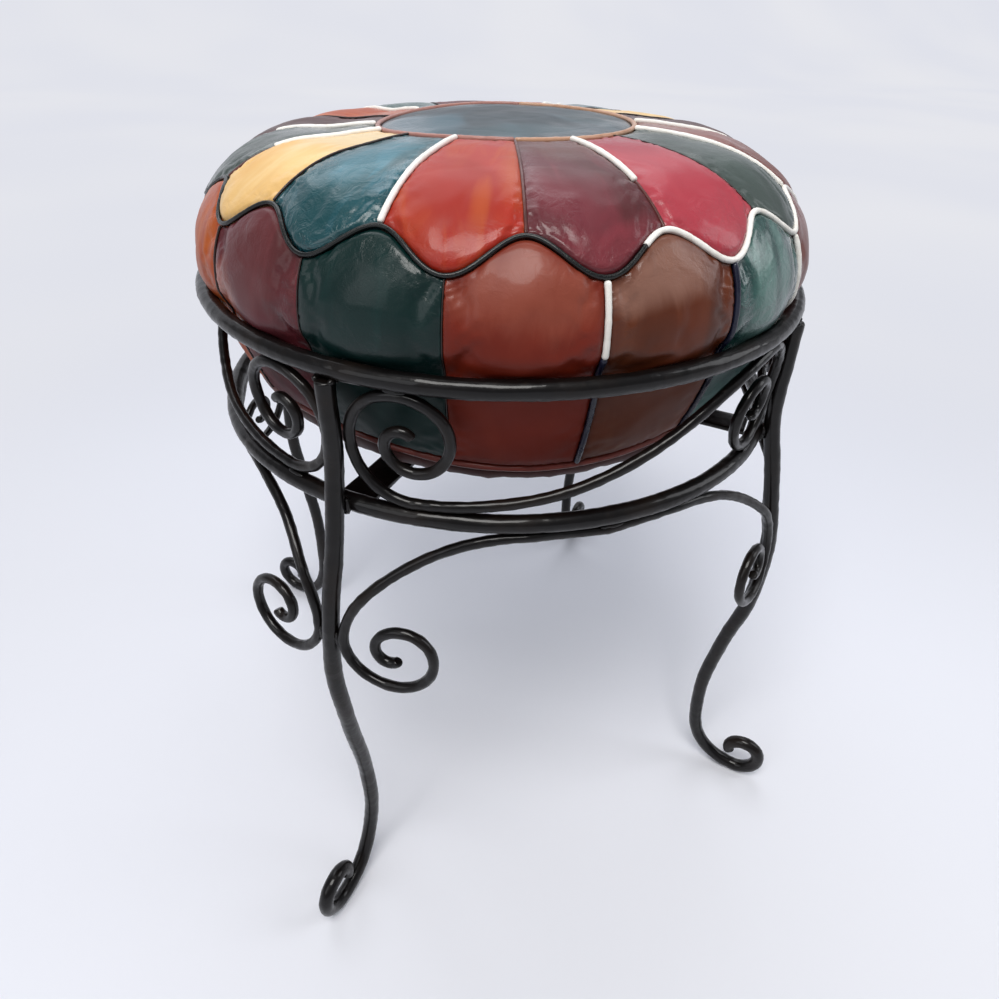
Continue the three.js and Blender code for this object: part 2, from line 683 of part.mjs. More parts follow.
// The cord along the scallops: a ring whose distance and height follow the wavy seam
function scallopCord() {
  const cord = new THREE.TorusGeometry(WIDEST_RADIUS, CORD_RADIUS, CORD_SIDES, PETAL_COUNT * PANEL_COLUMNS);
  const position = cord.getAttribute('position');
  for (let vertex = 0; vertex < position.count; vertex += 1) {
    const x = position.getX(vertex);
    const y = position.getY(vertex);
    const azimuth = Math.atan2(x, -y);
    const seam = cushionOutline(scallopPlace(azimuth + PETAL_SEAM_TURN));
    const radius = Math.hypot(x, y) - WIDEST_RADIUS + seam.x;
    const moved = around(azimuth, radius, position.getZ(vertex) + seam.y);
    position.setXYZ(vertex, moved.x, moved.y, moved.z);
  }
  return cord.rotateZ(PETAL_SEAM_TURN);
}

// The piping sewn into the seams: the scalloped cord, with a cord up each petal seam to the rim
// and one down each side seam to the welt
function addPiping(cushion) {
  const upward = [];
  for (let step = 0; step <= CORD_STEPS; step += 1) {
    upward.push(mix(crownStart(), SCALLOP_HIGH_SHARE, step / CORD_STEPS));
  }
  const downward = [SCALLOP_LOW_SHARE, mix(SCALLOP_LOW_SHARE, 1, 1 / 2), ...LOWER_PLACES];
  let piping = toSolid(scallopCord());
  for (let seam = 0; seam < PETAL_COUNT; seam += 1) {
    const high = PETAL_SEAM_TURN + seam * PITCH_ANGLE;
    const low = high + PITCH_ANGLE / 2;
    piping = piping.add(toSolid(seamCord(high, upward)));
    piping = piping.add(toSolid(seamCord(low, downward)));
  }
  addPiece('seam_piping', fromSolid(piping), leather('cordDark'), cushion);
}

function addRoundCords(cushion) {
  const segments = PETAL_COUNT * LATHE_SEGMENTS_PER_PANEL;
  const rim = new THREE.TorusGeometry(CROWN_RIM_RADIUS, RIM_CORD_RADIUS, CORD_SIDES, segments);
  addPiece('rim_cord', rim, leather('cordTan'), cushion).position.z = CROWN_TOP;
  const welt = new THREE.TorusGeometry(BASE_RADIUS, RIM_CORD_RADIUS, CORD_SIDES, segments);
  addPiece('base_welt', welt, leather('cordDark'), cushion).position.z = WELT_HEIGHT;
}

// Zip: it lies along the middle of the rear opening between two straps, under the base leather

// The slider's channel round the chain, seen along the zip: x across, y up
function sliderSection() {
  const inside = ZIP_CHAIN_WIDTH / 2 + SEAT_GAP;
  const outside = inside + ZIP_SLIDER_WALL;
  const top = ZIP_TAPE_UNDERSIDE - SEAT_GAP;
  const floor = ZIP_TAPE_UNDERSIDE - ZIP_CHAIN_THICKNESS - 2 * SEAT_GAP;
  const corners = [[-outside, floor - ZIP_SLIDER_WALL], [outside, floor - ZIP_SLIDER_WALL], [outside, top],
    [inside, top], [inside, floor], [-inside, floor], [-inside, top], [-outside, top]];
  return new THREE.Shape(corners.map(([x, y]) => new THREE.Vector2(x, y)));
}

function addZip(cushion) {
  const offset = zipOffset();
  const tape = new THREE.BoxGeometry(ZIP_LENGTH, ZIP_TAPE_WIDTH, ZIP_TAPE_THICKNESS);
  const tapeHeight = ZIP_TAPE_UNDERSIDE + ZIP_TAPE_THICKNESS / 2;
  addPiece('zip_tape', tape, material('cordDark', 0.9, 0), cushion).position.set(0, offset, tapeHeight);
  const chain = new THREE.BoxGeometry(ZIP_LENGTH - ZIP_END, ZIP_CHAIN_WIDTH, ZIP_CHAIN_THICKNESS);
  const chainHeight = ZIP_TAPE_UNDERSIDE - SEAT_GAP - ZIP_CHAIN_THICKNESS / 2;
  addPiece('zip_chain', chain, material('zinc', 0.4, 1), cushion).position.set(0, offset, chainHeight);
  const slider = new THREE.ExtrudeGeometry(sliderSection(), { depth: ZIP_SLIDER_LENGTH, bevelEnabled: false });
  const across = new THREE.Vector3(0, 1, 0);
  const up = new THREE.Vector3(0, 0, 1);
  const along = new THREE.Vector3(1, 0, 0);
  slider.applyMatrix4(new THREE.Matrix4().makeBasis(across, up, along));
  const start = ZIP_END - ZIP_LENGTH / 2;
  addPiece('zip_slider', slider, material('zinc', 0.4, 1), cushion).position.set(start, offset, 0);
  const pull = new THREE.BoxGeometry(ZIP_PULL_LENGTH, ZIP_PULL_WIDTH, ZIP_SLIDER_WALL);
  const pullHeight = ZIP_TAPE_UNDERSIDE - ZIP_CHAIN_THICKNESS - ZIP_SLIDER_WALL * 3 / 2 - 3 * SEAT_GAP;
  const pullPlace = start + ZIP_PULL_LENGTH / 2;
  addPiece('zip_pull', pull, material('zinc', 0.4, 1), cushion).position.set(pullPlace, offset, pullHeight);
}

// How far behind the axis the zip lies, so that the tape's inner corners clear the straps
function zipOffset() {
  const halfAngle = LEG_ANGLE / 2;
  const strapEdge = STRAP_WIDTH / 2 / Math.cos(halfAngle);
  return (ZIP_LENGTH / 2 + strapEdge + ZIP_STRAP_GAP) / Math.tan(halfAngle) + ZIP_TAPE_WIDTH / 2;
}

function addCushion() {
  const cushion = new THREE.Group();
  stool.add(cushion);
  addFilling(cushion);
  addTopDisc(cushion);
  addPetals(cushion);
  addSidePanels(cushion);
  addBase(cushion);
  addRoundCords(cushion);
  addPiping(cushion);
  addZip(cushion);
}

addRings();
addLegs();
addUpperScrolls();
addLowerScrolls();
addStraps();
addCushion();

export default stool;
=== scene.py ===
"""A Moroccan kursi stool: the looks of its wrought iron stand and of the patchwork leather cushion in it.

Lengths are in millimetres until a mesh is made, and angles in radians. An azimuth is measured from -Y
towards +X. Every shape is a surface worked out as whole arrays, with rows along it and columns round it.
"""
import itertools
import math

import bpy
import numpy as np
from mathutils import Matrix, Vector


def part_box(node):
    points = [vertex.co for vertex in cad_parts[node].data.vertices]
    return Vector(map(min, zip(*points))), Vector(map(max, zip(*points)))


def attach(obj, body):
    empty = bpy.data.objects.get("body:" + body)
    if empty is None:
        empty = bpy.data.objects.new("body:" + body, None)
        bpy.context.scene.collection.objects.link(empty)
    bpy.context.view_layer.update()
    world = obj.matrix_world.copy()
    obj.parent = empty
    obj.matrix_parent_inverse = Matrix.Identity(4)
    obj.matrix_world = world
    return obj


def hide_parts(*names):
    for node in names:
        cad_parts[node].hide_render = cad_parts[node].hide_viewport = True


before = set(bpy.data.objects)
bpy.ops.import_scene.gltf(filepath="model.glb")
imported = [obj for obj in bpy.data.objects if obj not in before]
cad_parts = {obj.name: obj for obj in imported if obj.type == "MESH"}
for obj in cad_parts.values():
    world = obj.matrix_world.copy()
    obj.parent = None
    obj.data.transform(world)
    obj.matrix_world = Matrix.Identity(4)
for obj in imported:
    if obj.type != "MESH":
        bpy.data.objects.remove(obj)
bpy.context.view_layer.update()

MM = 0.001
TURN = 2 * math.pi
DEGREE = math.pi / 180

# Stand, as in the CAD model
RING_BAR_RADIUS = 5
LEG_BAR_RADIUS = 5
SCROLL_ROD_RADIUS = 3
WELD_GAP = 0.3
UPPER_RING_RADIUS = 182
UPPER_RING_HEIGHT = 395
LOWER_RING_HEIGHT = 317
NECK_RADIUS = 184.8
NECK_HEIGHT = 355
BELLY_RADIUS = 205
BELLY_HEIGHT = 215
WAIST_RADIUS = 187
WAIST_HEIGHT = 75
FOOT_REACH = 41.5
FOOT_CURL_RADIUS = 18
FOOT_CURL_PITCH = 12.8
FOOT_CURL_TURN = 290 * DEGREE
FOOT_SWEEP_SHARES = {"down": 0.71, "out": 0.31}
UPPER_SCROLL_PITCH = 19.4
UPPER_SCROLL_EYE = 4.7
UPPER_SCROLL_HANDLE_SHARES = {"low": 0.55, "high": 0.27}
LOWER_SCROLL_DROP = 75
LOWER_SCROLL_RADIUS = 31
LOWER_SCROLL_PITCH = 20
LOWER_SCROLL_EYE = 4.5
LOWER_SCROLL_SQUASH = 0.9
LOWER_SCROLL_RUN = 95
LOWER_SCROLL_LEAN = 42
LOWER_SCROLL_HANDLE_SHARES = {"up": 0.52, "across": 0.47}
STRAP_WIDTH = 20
STRAP_THICKNESS = 3.5
STRAP_TOP = 319
LEG_ANGLE = TURN / 4
ROD_SEAT = RING_BAR_RADIUS + SCROLL_ROD_RADIUS + WELD_GAP
ROD_TOUCH = LEG_BAR_RADIUS + SCROLL_ROD_RADIUS + WELD_GAP

# Cushion, as in the CAD model
PANELS = 16
PITCH = TURN / PANELS
PETAL_SEAM_TURN = 6.3 * DEGREE
CROWN_TOP = 479.4
CROWN_RIM_RADIUS = 75
CROWN_EXPONENT = 2 / 2.3
WIDEST_RADIUS = 180.42
WIDEST_HEIGHT = 16
CUSHION_WAIST = 174.72
BASE_RADIUS = 158.02
BASE_HEEL = 4.4
BASE_UNDERSIDE = 319.3
WELT_HEIGHT = 342
BASE_FLAT_SHARE = 0.73
BASE_HANDLE_SHARES = {"down": 0.55, "across": 0.55}
SCALLOP_HIGH = 0.58
SCALLOP_LOW = 0.742
LEATHER = 1.5
RIM_CORD_RADIUS = 2
SEAM_GAP = 0.4
PADDING_DEPTH = 2.9
ZIP_OFFSET = 82.14
ZIP_LENGTH = 110
ZIP_END = 4
ZIP_TAPE_WIDTH = 24
ZIP_TAPE_THICKNESS = 0.8
ZIP_TAPE_UNDERSIDE = 318.2
ZIP_CHAIN_THICKNESS = 1.5


def linked(name, data):
    """A new object with its data, in the scene."""
    made = bpy.data.objects.new(name, data)
    bpy.context.scene.collection.objects.link(made)
    return made


# ---------------- camera

CAMERA_DISTANCE = 450
CAMERA_HEIGHT = 537.44
CAMERA_TURN = -19.7 * DEGREE
CAMERA_PAN = 0.005655
CAMERA_TILT = 0.56012
CAMERA_ROLL = 0.033769
FOCAL_PIXELS = 698.8
PICTURE_PIXELS = 999
AXIS_ROW = 440
SENSOR = 36
CAMERA_CLIP = (0.01, 60)


def add_camera():
    """Looks from CAMERA_DISTANCE before the axis, panned right, tilted down, then rolled about its own
    axis, with all of it turned about the stool."""
    turn = Matrix.Rotation(CAMERA_TURN, 3, "Z")
    aim = turn @ Matrix.Rotation(-CAMERA_PAN, 3, "Z") @ Matrix.Rotation(math.pi / 2 - CAMERA_TILT, 3, "X")
    lens = bpy.data.cameras.new("camera")
    lens.sensor_width = SENSOR
    lens.lens = FOCAL_PIXELS * SENSOR / PICTURE_PIXELS
    lens.shift_y = (AXIS_ROW - PICTURE_PIXELS / 2) / PICTURE_PIXELS
    lens.clip_start, lens.clip_end = CAMERA_CLIP
    camera = linked("camera", lens)
    camera.rotation_mode = "QUATERNION"
    camera.rotation_quaternion = (aim @ Matrix.Rotation(CAMERA_ROLL, 3, "Z")).to_quaternion()
    camera.location = turn @ Vector((0, -CAMERA_DISTANCE * MM, CAMERA_HEIGHT * MM))
    bpy.context.scene.camera = camera


add_camera()


# ---------------- arrays

def mix(first, second, share):
    """The value a share of the way from the first to the second."""
    return first + (second - first) * share


def ease(share):
    """0 below 0 and 1 above 1, with s s (3 - 2 s) in between."""
    s = np.clip(share, 0, 1)
    return s * s * (3 - 2 * s)


def half_wave(share):
    """(1 - cos(pi s)) / 2, level at both ends."""
    return (1 - np.cos(np.pi * np.clip(share, 0, 1))) / 2


def unit(vectors):
    """Vectors of length 1 in the same directions."""
    return vectors / np.maximum(np.linalg.norm(vectors, axis=-1, keepdims=True), 1e-12)


def stacked(*parts):
    """Values broadcast together and set side by side along a last axis."""
    return np.stack(np.broadcast_arrays(*parts), axis=-1)


def shares(count):
    """Even shares of the way round, from 0."""
    return np.arange(count) / count


def around(azimuth, radius, height):
    """The point at an azimuth, a distance from the axis and a height."""
    return stacked(radius * np.sin(azimuth), -radius * np.cos(azimuth), height)


def outward(azimuth):
    """The level direction away from the axis at an azimuth."""
    return around(azimuth, 1.0, 0.0)


def level_outward(points):
    """The level direction away from the axis at each point."""
    return unit(points * np.array([1.0, 1.0, 0.0]))


def turned(points, angle):
    """Points turned about the upright axis, anticlockwise from above."""
    c, s = math.cos(angle), math.sin(angle)
    return points @ np.array([[c, s, 0], [-s, c, 0], [0, 0, 1.0]])


def bezier(p0, p1, p2, p3, share):
    """Points on a cubic Bezier curve."""
    t = np.asarray(share)[..., None]
    p0, p1, p2, p3 = (np.asarray(p, float) for p in (p0, p1, p2, p3))
    return (1 - t) ** 3 * p0 + 3 * (1 - t) ** 2 * t * p1 + 3 * (1 - t) * t ** 2 * p2 + t ** 3 * p3


def ripple(share, seed, waves):
    """Sum of sines, with the given whole numbers of waves from 0 to 1 and random phases."""
    phases = np.random.default_rng(seed).random(len(waves))
    return sum(np.sin(TURN * (n * share + p)) for n, p in zip(waves, phases)) / math.sqrt(len(waves))


def crumple(points, seed, wavelength, count=14):
    """Sum of plane waves in random directions, each 0.7 to 1.5 wavelengths long: about -1.5 to 1.5."""
    random = np.random.default_rng(seed)
    waves = unit(random.normal(size=(count, 3))) * TURN / (wavelength * random.uniform(0.7, 1.5, (count, 1)))
    phases = random.random(count) * TURN
    return np.sin(points @ waves.T + phases).sum(-1) / math.sqrt(count / 2)


def resampled(line, spacing, bevel):
    """Points along a line at even distances, with close ones over the last bevel at both ends. Returns the
    points, each one's distance from the nearer end, and its distance from the start."""
    steps = np.linalg.norm(np.diff(line, axis=0), axis=1)
    along = np.concatenate([[0], np.cumsum(steps)])
    length = along[-1]
    inner = np.linspace(bevel, length - bevel, max(int(length / spacing), 2))
    close = bevel * np.array([0, 0.03, 0.12, 0.28, 0.5, 0.75])
    places = np.concatenate([close, inner, length - close[::-1]])
    points = stacked(*(np.interp(places, along, line[:, axis]) for axis in range(3)))
    return points, np.minimum(places, length - places), places


# ---------------- meshes

class Form:
    """Points, their faces of four and of three corners, and a place on the pattern for each point."""

    def __init__(self, points, quads, triangles=(), pattern=None):
        self.points = np.asarray(points, float).reshape(-1, 3)
        self.quads = quads
        self.triangles = np.asarray(triangles, int).reshape(-1, 3)
        pattern = np.zeros((len(self.points), 2)) if pattern is None else pattern
        self.pattern = np.asarray(pattern, float).reshape(-1, 2)
        self.face_outwards()

    def face_outwards(self):
        """Turns the faces round if the volume that they enclose comes out negative."""
        split = np.concatenate([self.quads[:, [0, 1, 2]], self.quads[:, [0, 2, 3]], self.triangles])
        a, b, c = (self.points[split[:, corner]] for corner in range(3))
        if np.einsum("ij,ij->i", a, np.cross(b, c)).sum() < 0:
            self.quads = self.quads[:, ::-1]
            self.triangles = self.triangles[:, ::-1]


def grid_quads(rows, columns, wrap_rows=False, wrap_columns=False):
    """The faces of a grid of points, which can go round either way."""
    row = np.arange(rows if wrap_rows else rows - 1)[:, None]
    column = np.arange(columns if wrap_columns else columns - 1)[None, :]
    below = (row + 1) % rows
    beside = (column + 1) % columns
    return stacked(row * columns + column, row * columns + beside,
                   below * columns + beside, below * columns + column).reshape(-1, 4)


def wrapped_form(grid, pattern=None):
    """A closed body from rows of points that each go round, with a pole in the middle of its first and last
    row."""
    rows, columns = grid.shape[:2]
    points = np.concatenate([grid.reshape(-1, 3), grid[:1].mean(1), grid[-1:].mean(1)])
    here = np.arange(columns)
    beside = (here + 1) % columns
    last = (rows - 1) * columns
    first_pole = rows * columns
    triangles = np.concatenate([stacked(first_pole, beside, here),
                                stacked(first_pole + 1, last + here, last + beside)])
    if pattern is not None:
        pattern = np.concatenate([pattern.reshape(-1, 2), pattern[:1].mean(1), pattern[-1:].mean(1)])
    return Form(points, grid_quads(rows, columns, wrap_columns=True), triangles, pattern)


def ring_form(grid, pattern):
    """A closed body whose rows and columns both go round."""
    rows, columns = grid.shape[:2]
    return Form(grid, grid_quads(rows, columns, True, True), pattern=pattern)


def shell_form(outer, inner, pattern):
    """A sheet with thickness: two grids of points with the same rows and columns, joined round their
    borders."""
    rows, columns = outer.shape[:2]
    layer = rows * columns
    faces = grid_quads(rows, columns)
    row = np.arange(rows)
    column = np.arange(columns)
    border = np.concatenate([column, row[1:] * columns + columns - 1, (rows - 1) * columns + column[::-1][1:],
                             row[::-1][1:-1] * columns])
    following = np.roll(border, -1)
    wall = stacked(border, border + layer, following + layer, following)
    points = np.concatenate([outer.reshape(-1, 3), inner.reshape(-1, 3)])
    quads = np.concatenate([faces, faces[:, ::-1] + layer, wall])
    return Form(points, quads, pattern=np.concatenate([pattern.reshape(-1, 2)] * 2))


def tube_grid(centres, normals, section, closed=False):
    """Rows of section points along a line: centre + x normal + y (tangent x normal)."""
    ahead = np.roll(centres, -1, 0) - np.roll(centres, 1, 0) if closed else np.gradient(centres, axis=0)
    tangents = unit(ahead)
    normals = np.broadcast_to(normals, centres.shape)
    normals = unit(normals - np.sum(normals * tangents, -1, keepdims=True) * tangents)
    binormals = np.cross(tangents, normals)
    section = np.broadcast_to(section, (len(centres),) + section.shape[-2:])
    return centres[:, None] + section[..., :1] * normals[:, None] + section[..., 1:] * binormals[:, None]


def circle(sides):
    """Cosine and sine all round."""
    angles = TURN * shares(sides)
    return stacked(np.cos(angles), np.sin(angles))


def squared(waves, power):
    """Superellipse: the nearer the power is to 0, the squarer a circle's cosines and sines become."""
    return np.sign(waves) * np.abs(waves) ** power


def round_section(radii, sides):
    """A circle of points for each radius."""
    return np.asarray(radii, float)[..., None, None] * circle(sides)


def length_pattern(grid, places):
    """Pattern places of a tube: the share round it, and the length along it in centimetres."""
    return stacked(shares(grid.shape[1]), np.asarray(places)[:, None] / 10)


def make_mesh(name, forms):
    """One mesh from several closed forms, with smooth faces and its pattern as a UV map."""
    counts = np.cumsum([0] + [len(form.points) for form in forms])
    quads = np.concatenate([form.quads + start for form, start in zip(forms, counts)])
    triangles = np.concatenate([form.triangles + start for form, start in zip(forms, counts)])
    points = np.concatenate([form.points for form in forms]) * MM
    corners = np.concatenate([quads.ravel(), triangles.ravel()])
    starts = np.concatenate([np.arange(len(quads)) * 4, len(quads) * 4 + np.arange(len(triangles)) * 3])
    mesh = bpy.data.meshes.new(name)
    mesh.vertices.add(len(points))
    mesh.vertices.foreach_set("co", points.astype(np.float32).ravel())
    mesh.loops.add(len(corners))
    mesh.loops.foreach_set("vertex_index", corners.astype(np.int32))
    mesh.polygons.add(len(starts))
    mesh.polygons.foreach_set("loop_start", starts.astype(np.int32))
    mesh.polygons.foreach_set("use_smooth", np.ones(len(starts), bool))
    mesh.update(calc_edges=True)
    pattern = np.concatenate([form.pattern for form in forms])[corners]
    mesh.uv_layers.new(name="pattern").data.foreach_set("uv", pattern.astype(np.float32).ravel())
    mesh.validate()
    return mesh


SHARP_ANGLE = 50 * DEGREE


def add_piece(name, forms, finish, node=None, body="cushion"):
    """A new piece of the stool that rides on a body and stands for a CAD node."""
    mesh = make_mesh(name, forms if isinstance(forms, list) else [forms])
    mesh.set_sharp_from_angle(angle=SHARP_ANGLE)
    mesh.materials.append(finish)
    piece = linked(name, mesh)
    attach(piece, body)
    if node:
        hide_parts(node)
    return piece


# ---------------- shaders

def paint(code):
    """A colour written as sRGB hex, in linear light."""
    values = np.array(list(bytes.fromhex(code))) / 255
    linear = np.where(values <= 0.04045, values / 12.92, ((values + 0.055) / 1.055) ** 2.4)
    return (*linear.tolist(), 1.0)


class Link:
    """A shader value that takes part in sums: each operator adds a Math node."""

    def __init__(self, finish, socket):
        self.finish = finish
        self.socket = socket

    def maths(self, operation, *values):
        return self.finish.node("Math", dict(enumerate(values)), operation=operation)

    def __rsub__(self, other):
        return self.maths("SUBTRACT", other, self)

    def rise(self, low, high):
        """0 below low and 1 above high, smooth between."""
        sockets = {"Value": self, "From Min": low, "From Max": high}
        return self.finish.node("MapRange", sockets, interpolation_type="SMOOTHSTEP")


def operator(operation):
    """A method that puts the link itself first, before the other values."""
    return lambda link, *others: link.maths(operation, link, *others)


for method, operation in {
        "__add__": "ADD", "__radd__": "ADD", "__sub__": "SUBTRACT", "__mul__": "MULTIPLY",
        "__rmul__": "MULTIPLY", "least": "MINIMUM", "most": "MAXIMUM", "size": "ABSOLUTE",
        "sine": "SINE"}.items():
    setattr(Link, method, operator(operation))


class Finish:
    """One material, or the world, and the nodes in it."""

    def __init__(self, name, world=None):
        self.material = world or bpy.data.materials.new(name)
        self.material.use_nodes = True
        self.tree = self.material.node_tree
        self.tree.nodes.clear()
        self.place = self.node("TexCoord", output="Object")

    def node(self, kind, sockets={}, output=0, **settings):
        """A node of a kind, with its settings made first, then the values or links of its sockets."""
        made = self.tree.nodes.new("ShaderNode" + kind)
        for key, value in settings.items():
            setattr(made, key, value)
        for key, value in sockets.items():
            if isinstance(value, Link):
                self.tree.links.new(value.socket, made.inputs[key])
            else:
                made.inputs[key].default_value = value
        return Link(self, made.outputs[output]) if len(made.outputs) else None

    def pattern(self):
        return self.node("UVMap", uv_map="pattern")

    def rays(self):
        """1 for rays from the camera, and 1 for those that a gloss or a clear piece sends on."""
        camera, glossy, clear = (self.node("LightPath", output=f"Is {kind} Ray")
                                 for kind in ("Camera", "Glossy", "Transmission"))
        return camera, glossy.most(clear)

    def split(self, vector):
        """The three parts of a vector."""
        outputs = self.node("SeparateXYZ", {0: vector}).socket.node.outputs
        return [Link(self, outputs[axis]) for axis in range(3)]

    def moved(self, vector, scale=(1, 1, 1), shift=(0, 0, 0)):
        return self.node("Mapping", {"Vector": vector, "Scale": scale, "Location": shift})

    def noise(self, scale, detail=3.0, roughness=0.5, distortion=0.0, vector=None):
        return self.node("TexNoise", {"Vector": vector or self.place, "Scale": scale, "Detail": detail,
                                      "Roughness": roughness, "Distortion": distortion})

    def cell_edges(self, scale):
        """Distance to the nearest border between irregular cells."""
        return self.node("TexVoronoi", {"Vector": self.place, "Scale": scale}, feature="DISTANCE_TO_EDGE")

    def blend(self, share, first, second):
        return self.node("Mix", {0: share, 6: first, 7: second}, 2, data_type="RGBA")

    def bump(self, height, strength, distance, *normal):
        sockets = {"Height": height, "Strength": strength, "Distance": distance}
        return self.node("Bump", {**sockets, **dict(zip(["Normal"], normal))})

    def shade(self, **sockets):
        """The surface: a Principled shader with the given sockets, spaces written as underscores."""
        named = {key.replace("_", " "): value for key, value in sockets.items()}
        self.node("OutputMaterial", {"Surface": self.node("BsdfPrincipled", named)})
        return self.material


def iron_finish():
    """Black enamel over hammered bar: a dark glossy coat, rubbed to bronze in places."""
    f = Finish("black_iron")
    broad = f.noise(28, 4, 0.6)
    fine = f.noise(240, 3, 0.55)
    dents = f.noise(95, 2, 0.4, 0.4)
    colour = f.blend(broad.rise(0.42, 0.72), paint("0a0808"), paint("150e0a"))
    colour = f.blend(fine.rise(0.6, 0.78) * 0.3, colour, paint("241b15"))
    height = dents * 0.7 + fine * 0.3
    normal = f.bump(height, 0.45, 0.0013)
    normal = f.bump(f.noise(900, 2, 0.5), 0.08, 0.0003, normal)
    roughness = 0.3 + broad.rise(0.35, 0.75) * 0.14 + fine.rise(0.5, 0.8) * 0.1
    return f.shade(Base_Color=colour, Roughness=roughness, Specular_IOR_Level=0.14, Normal=normal,
                   Coat_Weight=0.34, Coat_Roughness=0.07)


# Heights in metres between which the leather turns from dull to polished, just below the ring
POLISH_HEIGHTS = (0.372, 0.412)


def leather_finish(name, base, shade, tint, mottle, streak, gloss, crinkle, seed, patches=()):
    """Dyed and polished goat leather: clouded dye with soft flames of a lighter one, patches of other dye
    and, on some panels, patches of painted sheen, highlight or shade, darker along its seams and rubbed on
    its folded edges. Broad parts are smooth, with a soft polish, and there are glossy crinkles along the
    seams. It is duller below the ring, where no hand polishes it."""
    f = Finish(name)
    u, v, _ = f.split(f.pattern())
    _, _, height = f.split(f.place)
    polished = height.rise(*POLISH_HEIGHTS)
    loose = f.noise(17, 2, 0.5, 0, f.moved(f.place, shift=(seed * 1.3 + 4, seed, 2)))
    f.place = f.moved(f.place, shift=(seed, seed * 0.7, 0))
    cloud = f.noise(15, 3, 0.5, 0.6)
    patch = f.noise(44, 3, 0.55, 0.4)
    fibre = f.noise(380, 3, 0.6)
    flames = f.noise(2.4, 3, 0.5, 1.1, f.moved(f.pattern(), scale=(1.7, 0.8, 1), shift=(seed * 3, seed, 0)))
    inside = u.least(1 - u).least(v.least(1 - v))
    edge = 1 - inside.rise(0.0, 0.08)
    rubbed = (1 - inside.rise(0.004, 0.022)) * f.noise(70, 2, 0.5).rise(0.4, 0.6)
    colour = f.blend(cloud.rise(0.38, 0.68) * mottle, paint(base), paint(shade))
    colour = f.blend(flames.rise(0.46, 0.7) * streak, colour, paint(tint))
    colour = f.blend(patch.rise(0.52, 0.8) * 0.15 * mottle, colour, paint(tint))
    # Some patches are dye and others are painted sheen, highlight or shade, as marked where they are listed
    for (across, down), (wide, long), code, strength in patches:
        reach = (u - across) * (u - across) * (1 / wide ** 2) + (v - down) * (v - down) * (1 / long ** 2)
        colour = f.blend((1.15 - reach + (flames - 0.5) * 1.6).rise(0, 1.1) * strength, colour, paint(code))
    colour = f.blend(edge * 0.3, colour, paint(shade))
    colour = f.blend(rubbed * 0.45, colour, paint(tint))
    colour = f.blend(fibre.rise(0.62, 0.8) * 0.08, colour, paint(shade))
    crinkled = ((1 - inside.rise(0.03, 0.25)) * loose.rise(0.36, 0.52)).most(loose.rise(0.54, 0.66) * 0.7)
    crinkled = (crinkled * crinkle).most(crinkle - 1) * polished
    creases = (f.noise(80, 4, 0.6, 1.4) - 0.5).size().rise(0.0, 0.05)
    facets = f.noise(130, 3, 0.55, 0.8)
    grain = f.cell_edges(700).rise(0.0, 0.12)
    normal = f.bump(f.noise(30, 2, 0.45, 0.5), 0.1, 0.004)
    normal = f.bump(creases * crinkled, 0.15, 0.0011, normal)
    normal = f.bump(facets * (crinkled * 0.9 + 0.03), 0.9, 0.0026, normal)
    normal = f.bump(grain, 0.05, 0.0002, normal)
    roughness = gloss + cloud.rise(0.4, 0.75) * 0.08 - crinkled * 0.06 + (1 - polished) * 0.14
    coat = crinkled * 0.55 + polished * 0.08
    return f.shade(Base_Color=colour, Roughness=roughness, Specular_IOR_Level=0.22, Normal=normal,
                   Coat_Weight=coat, Coat_Roughness=0.12)


def cord_finish(name, base, shade, gloss):
    """Leather wrapped round a cord: a little darker in patches, with fine wrinkles across it."""
    f = Finish(name)
    patch = f.noise(160, 3, 0.6)
    wrinkles = f.noise(9, 3, 0.55, 0.4, f.moved(f.pattern(), scale=(0.6, 5.5, 1)))
    colour = f.blend(patch.rise(0.45, 0.75) * 0.6, paint(base), paint(shade))
    normal = f.bump(wrinkles, 0.25, 0.0005)
    normal = f.bump(f.noise(1400, 2, 0.5), 0.1, 0.0002, normal)
    return f.shade(Base_Color=colour, Roughness=gloss + patch.rise(0.4, 0.8) * 0.15, Specular_IOR_Level=0.25,
                   Normal=normal, Coat_Weight=0.3, Coat_Roughness=0.12)


def seam_shadow_filling_finish():
    """Cotton waste packed in dark canvas. Its dark colour is painted shade, so that where it shows in the
    gaps between the panels it reads as the shadow deep in the seams.
    """
    f = Finish("filling_dark_as_seam_shade")
    weave = f.noise(900, 2, 0.5)
    # Dark browns: painted shade for the gaps between the leather panels
    colour = f.blend(f.noise(40, 4, 0.6).rise(0.4, 0.7), paint("2b2420"), paint("3a322c"))
    return f.shade(Base_Color=colour, Roughness=0.92, Normal=f.bump(weave, 0.5, 0.0006))


def tape_finish():
    """Woven zip tape: fine ribs across it."""
    f = Finish("zip_tape")
    x, y, _ = f.split(f.place)
    ribs = (x * 5200).sine()
    weft = (y * 3600).sine()
    colour = f.blend(f.noise(260, 3, 0.6).rise(0.4, 0.7), paint("241f1d"), paint("393330"))
    return f.shade(Base_Color=colour, Roughness=0.88, Normal=f.bump(ribs * 0.6 + weft * 0.4, 0.4, 0.0002))


def zinc_finish():
    """Zinc plate, dulled in patches and scratched along its length."""
    f = Finish("zinc")
    dull = f.noise(300, 4, 0.6)
    scratches = f.noise(60, 3, 0.6, 0, f.moved(f.place, scale=(2, 22, 22)))
    colour = f.blend(dull.rise(0.4, 0.7), paint("a8a8a3"), paint("7f7d78"))
    return f.shade(Base_Color=colour, Metallic=1.0, Roughness=0.3 + dull.rise(0.35, 0.75) * 0.25,
                   Normal=f.bump(scratches, 0.25, 0.0002))


IRON = iron_finish()

